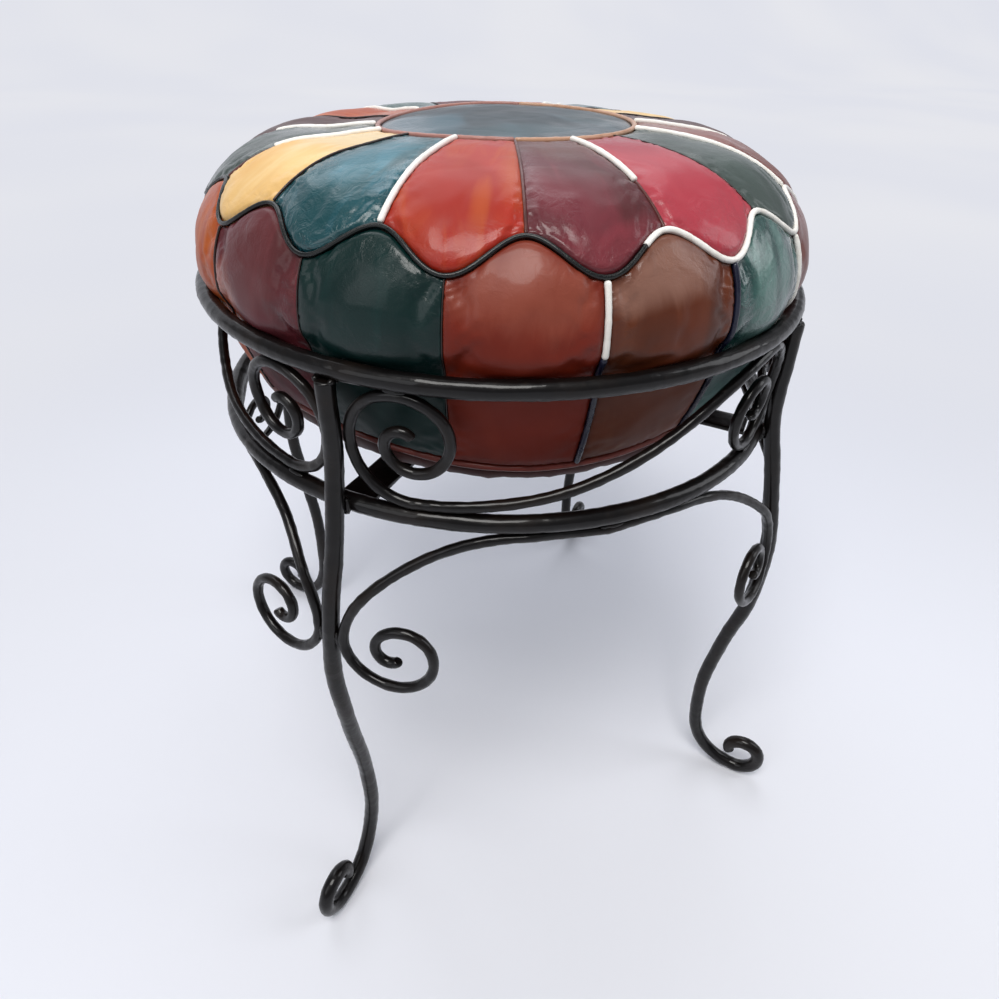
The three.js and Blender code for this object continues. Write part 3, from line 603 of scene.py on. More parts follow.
# Base colour, darker dye, lighter tint, then how mottled, streaked, rough and crinkled the leather is
LEATHERS = {
    "plum": ("5a2229", "45201f", "7c3039", 0.8, 0.35, 0.40, 0.5),
    "crimson": ("a63844", "902d37", "b84c53", 0.4, 0.15, 0.38, 0.5),
    "greygreen": ("434e4a", "343d3a", "5c6a66", 0.6, 0.25, 0.34, 1.15),
    "pink": ("7c4a43", "5c3530", "96625a", 0.5, 0.3, 0.38, 0.6),
    "maroon": ("48221f", "331816", "62312b", 0.5, 0.3, 0.38, 0.5),
    "cream": ("e3bd7d", "cf9f5a", "efdcb4", 0.45, 0.3, 0.42, 0.5),
    "teal": ("18505a", "113c40", "2f7488", 0.8, 0.4, 0.3, 1.3),
    "orange": ("a32818", "861f14", "b85a22", 0.5, 0.3, 0.4, 0.3),
    "steel": ("2a4f4b", "1b3937", "4f7a72", 0.7, 0.4, 0.26, 1.5),
    "amber": ("b04d20", "8a3916", "d07a3c", 0.5, 0.4, 0.38, 0.5),
    "bottle": ("062523", "051b1a", "0f3533", 0.6, 0.25, 0.36, 0.4),
    "rust": ("74210f", "5a180b", "85301c", 0.4, 0.2, 0.42, 0.25),
    "brown": ("602c16", "472110", "774127", 0.6, 0.3, 0.36, 0.35),
    "slate": ("26363d", "1b282e", "445d69", 0.8, 0.45, 0.40, 1.0),
}

# Patches of colour on single panels, of other dye and, where marked, of painted sheen, highlight or shade:
# where on the panel, how wide and long, their colour and strength
PATCHES = {
    # Petal 0: the brown-grey patch at its top is painted sheen; the crimson patches lower down are dye
    ("petal", 0): [((0.5, 0.1), (0.7, 0.25), "5f3d35", 0.7), ((0.3, 0.65), (0.45, 0.25), "76303a", 0.55),
                   ((0.6, 0.92), (0.5, 0.15), "82303a", 0.5), ((0.9, 0.7), (0.2, 0.3), "442022", 0.5)],
    ("petal", 15): [((0.95, 0.45), (0.2, 0.45), "a8491c", 0.75), ((0.25, 0.85), (0.25, 0.2), "ab3d1c", 0.35),
                    ((0.68, 0.66), (0.1, 0.22), "b4531f", 0.55), ((0.45, 0.5), (0.2, 0.25), "98251c", 0.5)],
    # Petal 14: the lighter, bluer patch at its top is partly dye and partly painted highlight
    ("petal", 14): [((0.5, 0.3), (0.45, 0.35), "2f7b8e", 0.45), ((0.3, 0.9), (0.5, 0.25), "10383c", 0.6)],
    # Petal 13: the pale patch at its top is a painted highlight; the ochre patch is dye
    ("petal", 13): [((0.5, 0.15), (0.7, 0.3), "dfd0ae", 0.6), ((0.2, 0.6), (0.3, 0.3), "dfa348", 0.4)],
    ("petal", 1): [((0.5, 0.12), (0.7, 0.2), "8f2d3c", 0.6)],
    ("side", 13): [((0.1, 0.45), (0.3, 0.3), "a8481f", 0.8), ((0.5, 0.2), (0.5, 0.2), "5c3030", 0.6)],
    # Side 15: the paler patch at its top is painted sheen
    ("side", 15): [((0.5, 0.13), (0.6, 0.2), "95503f", 0.65)],
    # Side 0: the pale patch at its top is painted sheen, the narrow dark patch at the right is the painted
    # shadow of a crease, and the saturated middle is dye
    ("side", 0): [((0.4, 0.12), (0.5, 0.13), "906a5c", 0.7), ((0.6, 0.42), (0.4, 0.2), "642c15", 0.7),
                  ((0.8, 0.3), (0.1, 0.25), "3f1e10", 0.6)],
    # Side 1: the two pale upright streaks are painted highlights
    ("side", 1): [((0.3, 0.3), (0.16, 0.4), "6f938b", 0.5), ((0.6, 0.2), (0.1, 0.25), "7c9f98", 0.35),
                  ((0.8, 0.35), (0.15, 0.3), "23433f", 0.5)],
    ("top", 0): [((0.55, 0.6), (0.28, 0.2), "1b272d", 0.6), ((0.15, 0.45), (0.16, 0.3), "4b6672", 0.55),
                 ((0.45, 0.15), (0.3, 0.12), "465c63", 0.5), ((0.8, 0.35), (0.14, 0.2), "4a585c", 0.5)],
}

COLOURS = {
    "petal": ["plum", "crimson", "greygreen", "pink", "maroon", "cream", "teal", "orange",
              "plum", "steel", "amber", "maroon", "greygreen", "cream", "teal", "orange"],
    "side": ["brown", "steel", "pink", "amber", "bottle", "plum", "rust", "brown",
             "steel", "maroon", "bottle", "rust", "amber", "plum", "bottle", "rust"],
}
# Moves the clouds in the dye, so that no two panels are mottled alike
FINISH_SHIFTS = {"petal": 0, "side": 5.1}


# ---------------- ironwork

BAR_SIDES = 24
ROD_SIDES = 18
RING_ROWS = 480
HAMMER_DEPTH = 0.16
END_BEVEL = 1.4
END_SHARE = 0.66
BAR_SPACING = 0.55
DRIFT_LENGTH = 300
STEADY_END = 25
TAPER_LENGTH = 30
RING_WANDER = 0.3
JOINT_SWELL = 0.11
JOINT_LENGTH = 3.2
HAMMERED_LOOP = 1440
STRAP_ROWS = 90
STRAP_SIDES = 28
STRAP_SQUARENESS = 0.32
WELD_ROWS = 13
WELD_SIDES = 12
# Strength, length and waves of the wander along the bar, round it, and of the hammer's knocks
HAMMERING = ((0.5, 240, [7, 11, 17, 23, 31]), (0.5, 130, [1, 2, 3]), (0.45, 90, [5, 8, 13]))
# First seed of each kind of bar, and the step to the next bar of its kind
SEEDS = {"upper_ring": 11, "lower_ring": 23, "leg": 31, "upper_scroll": 61, "lower_scroll": 97,
         "strap": 7, "weld": 40, "strap_weld": 200}
SEED_STEP = 7


def hammered(radius, places, seed, sides):
    """A round section whose radius wanders along the bar and round it, as hand-finished bar does."""
    round_it = shares(sides)
    places = places[:, None]
    turns = (0, round_it, 0.4 * np.sin(TURN * round_it))
    wander = sum(strength * ripple(turn + places / length, seed + at, waves)
                 for at, (turn, (strength, length, waves)) in enumerate(zip(turns, HAMMERING)))
    return (radius + HAMMER_DEPTH * wander)[..., None] * circle(sides)


def iron_bar(line, radius, sides, seed, side=None, sway=0.35, tapers=(1, 1)):
    """A hammered bar swept along a line, cut off with rounded edges at both ends. Its section's first side
    is a given one, or the one away from the axis."""
    centres, from_end, places = resampled(line, radius * BAR_SPACING, END_BEVEL)
    drift = stacked(*(ripple(places / DRIFT_LENGTH, seed + axis, [2, 3, 5]) for axis in range(3)))
    centres = centres + sway * drift * ease(from_end / STEADY_END)[:, None]
    blunt = mix(END_SHARE, 1, np.sqrt(1 - (1 - np.clip(from_end / END_BEVEL, 0, 1)) ** 2))
    start, end = tapers
    taper = mix(start, 1, ease(places / TAPER_LENGTH))
    taper = taper * mix(end, 1, ease((places[-1] - places) / TAPER_LENGTH))
    section = hammered(radius, places, seed + 5, sides) * (blunt * taper)[:, None, None]
    grid = tube_grid(centres, level_outward(centres) if side is None else side, section)
    return wrapped_form(grid, length_pattern(grid, places))


def iron_ring(radius, height, seed, joint):
    """A bar bent round and butt welded: its circle wanders a little, and it swells at the joint."""
    share = shares(RING_ROWS)
    azimuth = TURN * share
    distance = radius + RING_WANDER * ripple(share, seed, [2, 3, 5])
    centres = around(azimuth, distance, height + RING_WANDER * ripple(share, seed + 1, [2, 3, 4]))
    places = azimuth * radius
    section = hammered(RING_BAR_RADIUS - 0.05, places / (TURN * radius) * HAMMERED_LOOP, seed + 2, BAR_SIDES)
    away = np.abs(np.angle(np.exp(1j * (azimuth - joint)))) * radius
    swell = 1 + JOINT_SWELL * np.exp(-(away / JOINT_LENGTH) ** 2) * (1 + 0.3 * np.sin(away * 2.2))
    grid = tube_grid(centres, outward(azimuth), section * swell[:, None, None], closed=True)
    return ring_form(grid, length_pattern(grid, places))


def leg_radius(height):
    """Distance of a leg's centre line from the axis: half cosine waves from neck to belly to waist."""
    share = half_wave((NECK_HEIGHT - height) / (NECK_HEIGHT - BELLY_HEIGHT))
    upper = mix(NECK_RADIUS, BELLY_RADIUS, share)
    share = half_wave((BELLY_HEIGHT - height) / (BELLY_HEIGHT - WAIST_HEIGHT))
    return np.where(height >= BELLY_HEIGHT, upper, mix(BELLY_RADIUS, WAIST_RADIUS, share))


LOWER_RING_RADIUS = float(leg_radius(LOWER_RING_HEIGHT)) - LEG_BAR_RADIUS - RING_BAR_RADIUS - WELD_GAP


def leg_line():
    """The leg in its own upright plane, from the ring down and out to the curled foot."""
    top = UPPER_RING_HEIGHT - RING_BAR_RADIUS - WELD_GAP
    heights = np.linspace(top, WAIST_HEIGHT, 160)
    shaft = stacked(leg_radius(heights), heights)
    centre = np.array([WAIST_RADIUS + FOOT_REACH, LEG_BAR_RADIUS + FOOT_CURL_RADIUS])
    down = (WAIST_RADIUS, mix(WAIST_HEIGHT, LEG_BAR_RADIUS, FOOT_SWEEP_SHARES["down"]))
    out = (mix(WAIST_RADIUS, centre[0], FOOT_SWEEP_SHARES["out"]), LEG_BAR_RADIUS)
    sweep = bezier((WAIST_RADIUS, WAIST_HEIGHT), down, out, (centre[0], LEG_BAR_RADIUS),
                   np.linspace(0, 1, 70))
    turned_by = np.linspace(0, FOOT_CURL_TURN, 120)
    radius = FOOT_CURL_RADIUS - FOOT_CURL_PITCH * turned_by / TURN
    angle = turned_by - math.pi / 2
    curl = centre + radius[:, None] * stacked(np.cos(angle), np.sin(angle))
    line = np.concatenate([shaft, sweep[1:], curl[1:]])
    return around(0.0, line[:, 0], line[:, 1])


def spiral(centre, outer, pitch, eye, start, spin, squash=1.0):
    """Even turns that run inwards to the eye: radius = outer - pitch x turns."""
    turns = (outer - eye) / pitch
    done = np.linspace(0, turns, 220)[:, None]
    angle = start + spin * TURN * done
    reach = np.concatenate([np.cos(angle), np.sin(angle) * squash], axis=-1)
    return np.asarray(centre) + (outer - pitch * done) * reach


def upper_scroll_line(mirrored):
    """The S between the rings: two spirals and the run between them, rolled onto the rings' cone."""
    top = UPPER_RING_HEIGHT - ROD_SEAT
    bottom = LOWER_RING_HEIGHT + ROD_SEAT
    outer = (top - bottom + UPPER_SCROLL_PITCH / 2) / 2
    side_radius = outer - UPPER_SCROLL_PITCH / 4
    middle = (UPPER_RING_RADIUS + LOWER_RING_RADIUS) / 2
    inset = math.sqrt(max(ROD_TOUCH ** 2 - (NECK_RADIUS - middle) ** 2, 0))
    centre = middle * LEG_ANGLE / 2 - inset - side_radius
    start, end = (-centre, bottom), (centre, top)
    length = 2 * centre
    low = (start[0] + length * UPPER_SCROLL_HANDLE_SHARES["low"], bottom)
    high = (end[0] - length * UPPER_SCROLL_HANDLE_SHARES["high"], top)
    left = spiral((-centre, bottom + outer), outer, UPPER_SCROLL_PITCH, UPPER_SCROLL_EYE, -math.pi / 2, -1)
    right = spiral((centre, top - outer), outer, UPPER_SCROLL_PITCH, UPPER_SCROLL_EYE, math.pi / 2, -1)
    run = bezier(start, low, high, end, np.linspace(0, 1, 120)[1:-1])
    flat = np.concatenate([left[::-1], run, right])
    radius = mix(LOWER_RING_RADIUS, UPPER_RING_RADIUS, (flat[:, 1] - bottom) / (top - bottom))
    return around((-1 if mirrored else 1) * flat[:, 0] / middle, radius, flat[:, 1])


def lower_scroll_line():
    """The C under the lower ring: a squashed spiral beside each leg, and one arch between them."""
    top = LOWER_RING_HEIGHT - ROD_SEAT
    centre = (ROD_TOUCH + LOWER_SCROLL_RADIUS, LOWER_RING_HEIGHT - LOWER_SCROLL_DROP)
    start, end = (ROD_TOUCH, centre[1]), (LOWER_SCROLL_RUN, top)
    up = (ROD_TOUCH, mix(start[1], top, LOWER_SCROLL_HANDLE_SHARES["up"]))
    across = (mix(end[0], start[0], LOWER_SCROLL_HANDLE_SHARES["across"]), top)
    curl = spiral(centre, LOWER_SCROLL_RADIUS, LOWER_SCROLL_PITCH, LOWER_SCROLL_EYE, math.pi, 1,
                  LOWER_SCROLL_SQUASH)
    run = bezier(start, up, across, end, np.linspace(0, 1, 120)[1:])
    flat = np.concatenate([curl[::-1], run])
    lean = half_wave((top - flat[:, 1]) / LOWER_SCROLL_LEAN)
    radius = leg_radius(flat[:, 1]) - (float(leg_radius(top)) - LOWER_RING_RADIUS) * (1 - lean)
    left = around(flat[:, 0] / radius - LEG_ANGLE / 2, radius, flat[:, 1])
    middle = around(0.0, LOWER_RING_RADIUS, top)[None]
    return np.concatenate([left, middle, (left * np.array([-1.0, 1.0, 1.0]))[::-1]])


def strap_form(length, top, seed):
    """A flat bar with rounded edges: a superellipse section along a straight line that sags a hair."""
    share = np.linspace(-0.5, 0.5, STRAP_ROWS)
    sag = top - STRAP_THICKNESS / 2 + 0.12 * ripple(share, seed + 1, [2, 3, 5])
    centres = stacked(share * length, 0.25 * ripple(share, seed, [1, 2]), sag)
    section = squared(circle(STRAP_SIDES), STRAP_SQUARENESS)
    section = section * [(STRAP_THICKNESS - 0.3) / 2, STRAP_WIDTH / 2]
    dents = 1 + 0.012 * ripple(share[:, None] + shares(STRAP_SIDES), seed + 2, [9, 14, 22])
    grid = tube_grid(centres, np.array([0.0, 0.0, 1.0]), section[None] * dents[..., None])
    return wrapped_form(grid, length_pattern(grid, (share + 0.5) * length))


def weld_form(centre, along, length, radius, seed):
    """A lumpy bead: rows along it with radius = r sqrt(1 - s^2), each with overlapping ripples of the
    weld."""
    s = np.sin(np.linspace(-math.pi / 2, math.pi / 2, WELD_ROWS + 2))[1:-1]
    ripples = 1 + 0.12 * np.sin(s * length * 1.9 + seed) + 0.08 * ripple((s + 1) / 2, seed, [2, 3])
    radii = radius * np.sqrt(1 - s ** 2) ** 0.8 * ripples
    centres = np.asarray(centre) + (s * length / 2)[:, None] * unit(np.asarray(along, float))
    grid = tube_grid(centres, np.array([0.31, 0.22, 0.92]), round_section(radii, WELD_SIDES))
    return wrapped_form(grid)


# Length and radius of the weld beads
WELDS = {"leg_top": (8, 1.7), "leg_side": (9, 1.8), "leg_across": (9, 1.6), "scroll": (11, 1.2),
         "arch": (13, 1.2), "curl_out": (10, 1.2), "curl_in": (10, 1.1), "strap": (19, 1.5)}
# How far a pair of beads lies to the two sides of a seam
ASIDE = {"leg_top": 4.4, "leg_side": 3.6, "leg_across": 4, "scroll": 1.9, "arch": 1.9, "curl": 1.6}


def quarter_welds():
    """Every place in one quarter where two bars touch: the bead's middle, its direction and its kind."""
    leg = -LEG_ANGLE / 2
    tangent = outward(leg + LEG_ANGLE)
    up = np.array([0.0, 0.0, 1.0])
    inside_leg = LOWER_RING_RADIUS + RING_BAR_RADIUS
    top = around(leg, NECK_RADIUS - 1.2, UPPER_RING_HEIGHT - RING_BAR_RADIUS - 0.3)
    for side in (-1, 1):
        yield top + side * ASIDE["leg_top"] * tangent, outward(leg), "leg_top"
        yield (around(leg, inside_leg - 0.2, LOWER_RING_HEIGHT) + side * ASIDE["leg_side"] * tangent, up,
               "leg_side")
        yield (around(leg, inside_leg - 0.5, LOWER_RING_HEIGHT + side * ASIDE["leg_across"]), tangent,
               "leg_across")
    scroll = upper_scroll_line(False)
    for pick, height in ((np.argmax, UPPER_RING_HEIGHT), (np.argmin, LOWER_RING_HEIGHT)):
        x, y, z = scroll[pick(scroll[:, 2])]
        azimuth = math.atan2(x, -y)
        contact = mix(height, z, RING_BAR_RADIUS / ROD_SEAT)
        for side in (-1, 1):
            yield (around(azimuth, math.hypot(x, y) + side * ASIDE["scroll"], contact),
                   outward(azimuth + LEG_ANGLE), "scroll")
    arch = LOWER_RING_HEIGHT - RING_BAR_RADIUS - WELD_GAP / 2
    height = LOWER_RING_HEIGHT - LOWER_SCROLL_DROP
    radius = float(leg_radius(height))
    for side in (-1, 1):
        yield around(0.0, LOWER_RING_RADIUS + side * ASIDE["arch"], arch), np.array([1.0, 0, 0]), "arch"
        beside = leg + (LEG_BAR_RADIUS + WELD_GAP / 2) * side / radius
        yield around(beside, radius + ASIDE["curl"], height), up, "curl_out"
        yield around(beside, radius - ASIDE["curl"], height), up, "curl_in"


def all_welds():
    """The beads of one quarter, turned to all four, then those across the ends of the straps, on the inner
    side of the lower ring."""
    beads = []
    for quarter in range(4):
        turn = quarter * LEG_ANGLE
        for at, (centre, along, kind) in enumerate(quarter_welds()):
            seed = SEEDS["weld"] + 17 * quarter + at
            beads.append(weld_form(turned(centre, turn), turned(along, turn), *WELDS[kind], seed))
    for quarter in range(4):
        azimuth = (quarter - 0.5) * LEG_ANGLE
        height = STRAP_TOP - quarter % 2 * (STRAP_THICKNESS + WELD_GAP) - STRAP_THICKNESS / 2
        end = around(azimuth, LOWER_RING_RADIUS - RING_BAR_RADIUS + 0.4, height - 2.2)
        seed = SEEDS["strap_weld"] + quarter
        beads.append(weld_form(end, outward(azimuth + LEG_ANGLE), *WELDS["strap"], seed))
    return beads


def add_iron(name, form, node=None):
    """A piece of black iron on the stand."""
    add_piece(name, form, IRON, node, "stand")


def add_ironwork():
    """The two rings, the legs, the scrolls, the straps and the welds."""
    upper = iron_ring(UPPER_RING_RADIUS, UPPER_RING_HEIGHT, SEEDS["upper_ring"], 150 * DEGREE)
    lower = iron_ring(LOWER_RING_RADIUS, LOWER_RING_HEIGHT, SEEDS["lower_ring"], -170 * DEGREE)
    add_iron("ring_upper_bar", upper, "upper_ring")
    add_iron("ring_lower_bar", lower, "lower_ring")
    leg = leg_line()
    arch = lower_scroll_line()
    for quarter in range(4):
        turn = quarter * LEG_ANGLE
        number = quarter + 1
        later = quarter * SEED_STEP
        bar = iron_bar(turned(leg, turn - LEG_ANGLE / 2), LEG_BAR_RADIUS - 0.1, BAR_SIDES,
                       SEEDS["leg"] + later, side=outward(turn - LEG_ANGLE / 2 + TURN / 4),
                       tapers=(1, 0.9))
        add_iron(f"leg_bar_{number}", bar, f"leg_{number}")
        for place, line, node in (("high", upper_scroll_line(quarter % 2 == 1), "upper_scroll"),
                                  ("low", arch, "lower_scroll")):
            rod = iron_bar(turned(line, turn), SCROLL_ROD_RADIUS - 0.05, ROD_SIDES,
                           SEEDS[node] + later, sway=0.25)
            add_iron(f"scroll_{place}_{number}", rod, f"{node}_{number}")
    for layer in range(2):
        node = f"strap_{layer + 1}"
        low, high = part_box(node)
        reach = math.hypot(high.x - low.x, high.y - low.y) / MM - STRAP_WIDTH
        top = STRAP_TOP - layer * (STRAP_THICKNESS + WELD_GAP)
        form = strap_form(reach, top, SEEDS["strap"] + layer * 5)
        form.points = turned(form.points, (layer - 0.5) * LEG_ANGLE)
        add_iron(f"cross_bar_{layer + 1}", form, node)
    add_iron("weld_beads", all_welds())


# ---------------- cushion's surface

# How far the lower edge sags and the crown sinks, where each is deepest, and how wide the sinks are
HANG = 4.5
HANG_LOWEST = -13 * DEGREE
DIP = 3.0
DIP_DEEPEST = 190 * DEGREE
DIP_PLACE = 0.14
DIP_WIDTH = 0.1
SINK = 4.5
SINK_DEEPEST = -112 * DEGREE
SINK_WIDTH = 0.35


def outline(place):
    """Distance from the axis and height of the leather at a seam. Place 0 is the crown's rim, 1 the widest
    place, 2 the ring and 3 the welt: a superellipse, a half cosine wave, then a Bezier curve."""
    place = np.asarray(place, float)
    angle = np.clip(place, 0, 1) * math.pi / 2
    widest = UPPER_RING_HEIGHT + WIDEST_HEIGHT
    crown = stacked(mix(CROWN_RIM_RADIUS, WIDEST_RADIUS, np.sin(angle) ** CROWN_EXPONENT),
                    mix(widest, CROWN_TOP, np.maximum(np.cos(angle), 0) ** CROWN_EXPONENT))
    share = np.clip(place - 1, 0, 1)
    tuck = stacked(mix(WIDEST_RADIUS, CUSHION_WAIST, half_wave(share)),
                   UPPER_RING_HEIGHT + WIDEST_HEIGHT * (1 - share))
    waist = (CUSHION_WAIST, UPPER_RING_HEIGHT)
    heel = (BASE_RADIUS + BASE_HEEL / 2, WELT_HEIGHT + BASE_HEEL / 2)
    drop = waist[1] - heel[1]
    over_heel = ((heel[0] + waist[0]) / 2, heel[1] + drop / 3)
    belly = bezier(waist, (waist[0], waist[1] - drop / 4), over_heel, heel, np.clip(place - 2, 0, 1))
    return np.where((place <= 1)[..., None], crown, np.where((place <= 2)[..., None], tuck, belly))


def outline_normal(place):
    """The outward direction square to the outline, as distance and height."""
    nudge = 0.001
    along = unit(outline(np.minimum(place + nudge, 3)) - outline(np.maximum(place - nudge, 0)))
    return stacked(-along[..., 1], along[..., 0])


def outline_speed(place):
    """Millimetres of outline per unit of place."""
    nudge = 0.01
    return np.linalg.norm(outline(place + nudge) - outline(place), axis=-1) / nudge


def base_outline(share):
    """Distance and height of the base leather, a Bezier curve from under the welt (0) to where it lies
    flat (1)."""
    rim = (BASE_RADIUS, WELT_HEIGHT - RIM_CORD_RADIUS - 2 * SEAM_GAP)
    flat = (BASE_RADIUS * BASE_FLAT_SHARE, BASE_UNDERSIDE)
    rim_handle = (rim[0] - LEATHER, mix(rim[1], flat[1], BASE_HANDLE_SHARES["down"]))
    flat_handle = (mix(flat[0], rim[0], BASE_HANDLE_SHARES["across"]), flat[1])
    return bezier(rim, rim_handle, flat_handle, flat, share)


def hang(azimuth, share):
    """How far the lower edge is lifted over the straps and sags between them: a cosine, four times round."""
    return -HANG * np.cos(4 * (azimuth - HANG_LOWEST)) * ease(share)


def dip(azimuth, place):
    """How far the crown sinks: a bell shape just outside the disc, all of it at the back and none in
    front, and one with its top at the crown's rim, a squared half cosine wave at one side."""
    ditch = DIP * np.exp(-((place - DIP_PLACE) / DIP_WIDTH) ** 2) * (1 + np.cos(azimuth - DIP_DEEPEST)) / 2
    side = np.maximum(np.cos(azimuth - SINK_DEEPEST), 0) ** 2
    return ditch + SINK * np.exp(-(place / SINK_WIDTH) ** 2) * side


def scallop_place(azimuth):
    """Place of the wavy seam: high at a petal seam, low in the middle of a petal."""
    wave = (1 - np.cos((azimuth - PETAL_SEAM_TURN) * PANELS)) / 2
    return mix(SCALLOP_HIGH, SCALLOP_LOW, wave)


RIM_SHARE = (RIM_CORD_RADIUS + SEAM_GAP) / (WIDEST_RADIUS - CROWN_RIM_RADIUS)
CROWN_START = math.asin(RIM_SHARE ** (1 / CROWN_EXPONENT)) / (math.pi / 2)
PETAL_TOP = 0.45 * CROWN_START
SIDE_KNOTS = (0, 0.35, 0.51, 1)


def side_place(share, start):
    """Place at a share of the way down a side panel that starts at the scallop."""
    first = mix(start, 1, share / SIDE_KNOTS[1])
    rest = np.interp(share, SIDE_KNOTS[1:], (1, 2, 3))
    return np.where(share <= SIDE_KNOTS[1], first, rest)


def surface(azimuth, place, rise=0.0):
    """The point of the outline at an azimuth and a place, raised along the outline's normal."""
    at = outline(place) + outline_normal(place) * np.asarray(rise)[..., None]
    lifted = hang(azimuth, np.asarray(place) - 2) - dip(azimuth, place)
    return around(azimuth, at[..., 0], at[..., 1] + lifted)


def surface_normal(azimuth, place):
    """The direction square to the outline at an azimuth and a place."""
    flat = outline_normal(place)
    return around(azimuth, flat[..., 0], flat[..., 1])


# ---------------- cushion's stuffing

NET_COLUMNS = 20
PETAL_ROWS = 22
SIDE_ROWS = 34
PRESSURE = 14
SLACK = 0.02
# The simulated swell is multiplied by a gain at each place, then mixed with a share of the plain one
SWELL_PLACES = (0, 0.2, 0.45, 0.6, 1.0, 2.0, 2.5, 3)
SWELL_GAINS = (0.25, 0.4, 1.0, 1.3, 1.3, 1.0, 0.8, 0.6)
PLAIN_SHARE = 0.35
SIMULATED_FRAMES = 20
CLOTH = {
    "quality": 7, "mass": 0.25, "tension_stiffness": 25, "compression_stiffness": 25, "shear_stiffness": 8,
    "bending_stiffness": 0.6, "tension_damping": 8, "compression_damping": 8, "shear_damping": 8,
    "use_pressure": True, "uniform_pressure_force": PRESSURE, "shrink_min": -SLACK,
    "vertex_group_mass": "seams",
}


def cover_net():
    """The cover as one net, at rest: columns on every seam, one row along the scallops."""
    columns = PANELS * NET_COLUMNS
    azimuth = PETAL_SEAM_TURN + PITCH * np.arange(columns) / NET_COLUMNS
    start = scallop_place(azimuth)
    above = mix(CROWN_START, start, np.arange(PETAL_ROWS)[:, None] / PETAL_ROWS)
    below = side_place(np.arange(SIDE_ROWS + 1)[:, None] / SIDE_ROWS, start)
    place = np.concatenate([above, below])
    return np.broadcast_to(azimuth, place.shape), place


def stitched(rows, columns):
    """Which points of the net are held by a seam, the rim, the scallops or the base."""
    row = np.arange(rows)[:, None]
    column = np.arange(columns)[None, :]
    petal_seam = (column % NET_COLUMNS == 0) & (row <= PETAL_ROWS)
    side_seam = (column % NET_COLUMNS == NET_COLUMNS // 2) & (row >= PETAL_ROWS)
    return petal_seam | side_seam | (row == 0) | (row == PETAL_ROWS) | (row == rows - 1)


def stuffed(rest, held):
    """Cloth pressed outwards from its seams: the net after the simulated frames, gravity off. Its faces are
    turned round, so that the pressure pushes them out."""
    mesh = bpy.data.meshes.new("cover_net")
    quads = grid_quads(*held.shape, wrap_columns=True)[:, ::-1]
    mesh.from_pydata((rest.reshape(-1, 3) * MM).tolist(), [], quads.tolist())
    net = linked("cover_net", mesh)
    net.vertex_groups.new(name="seams").add(np.flatnonzero(held.ravel()).tolist(), 1.0, "REPLACE")
    cloth = net.modifiers.new("cloth", "CLOTH")
    for key, value in CLOTH.items():
        setattr(cloth.settings, key, value)
    cloth.settings.effector_weights.gravity = 0
    cloth.collision_settings.use_collision = False
    cloth.point_cache.frame_start = 1
    cloth.point_cache.frame_end = SIMULATED_FRAMES
    scene = bpy.context.scene
    for number in range(1, SIMULATED_FRAMES + 1):
        scene.frame_set(number)
    pressed = net.evaluated_get(bpy.context.evaluated_depsgraph_get())
    points = np.empty(len(mesh.vertices) * 3, np.float32)
    pressed.data.vertices.foreach_get("co", points)
    bpy.data.objects.remove(net)
    scene.frame_set(1)
    return points.reshape(rest.shape).astype(float) / MM


PETAL_SWELL = 4.6
SIDE_SWELL = 4.4
SIDE_SWELL_END = 2.2


def plain_swell(azimuth, place):
    """A sine bulge between the seams of each panel, highest low down on a petal and high up on a side
    panel."""
    start = scallop_place(azimuth)
    across = (azimuth - PETAL_SEAM_TURN) / PITCH
    down = np.clip((place - CROWN_START) / (start - CROWN_START), 0, 1)
    petal = PETAL_SWELL * np.abs(np.sin(np.pi * across)) * np.sin(np.pi * down ** 1.5)
    down = np.clip((place - start) / (SIDE_SWELL_END - start), 0, 1)
    side = SIDE_SWELL * np.abs(np.cos(np.pi * across)) * np.sin(np.pi * down ** 0.8)
    return np.where(place < start, petal, side)


def cover_swell():
    """How far each point of the net moves: across it, down it and outwards. The simulated outward part is
    weighed by place, and mixed with the plain bulge."""
    azimuth, place = cover_net()
    normal = surface_normal(azimuth, place)
    plain = plain_swell(azimuth, place)
    rest = surface(azimuth, place)
    moved = stuffed(rest, stitched(*place.shape)) - rest
    out = np.sum(moved * normal, -1)
    swell = mix(out * np.interp(place, SWELL_PLACES, SWELL_GAINS), plain, PLAIN_SHARE)
    return azimuth, place, moved + normal * (swell - out)[..., None]


def catmull(values, at, axis):
    """Catmull-Rom values between the samples of an array along an axis, held at its two ends."""
    count = values.shape[axis]
    base = np.clip(np.floor(at).astype(int), 0, count - 2)
    t = at - base
    weights = (((-t + 2) * t - 1) * t / 2, ((3 * t - 5) * t * t + 2) / 2, ((-3 * t + 4) * t + 1) * t / 2,
               (t - 1) * t * t / 2)
    taken = [np.take(values, np.clip(base + step - 1, 0, count - 1), axis=axis) for step in range(4)]
    shape = [1] * values.ndim
    shape[axis] = -1
    return sum(w.reshape(shape) * part for w, part in zip(weights, taken))


RING_CLEARANCE = 0.6


def clear_of_ring(points):
    """Points pushed straight away from the upper ring's bar, to just touch it."""
    radius = np.hypot(points[..., 0], points[..., 1])
    offset = stacked(radius - UPPER_RING_RADIUS, points[..., 2] - UPPER_RING_HEIGHT)
    distance = np.linalg.norm(offset, axis=-1)
    push = unit(offset) * np.maximum(RING_BAR_RADIUS + RING_CLEARANCE - distance, 0)[..., None]
    level = points[..., :2] * ((radius + push[..., 0]) / radius)[..., None]
    return np.concatenate([level, points[..., 2:] + push[..., 1:]], axis=-1)


def crowded(count, crowd=0.62):
    """Shares from 0 to 1 that lie closer together near both ends."""
    t = np.linspace(0, 1, count)
    return mix(t, half_wave(t), crowd)


# ---------------- cushion's leather

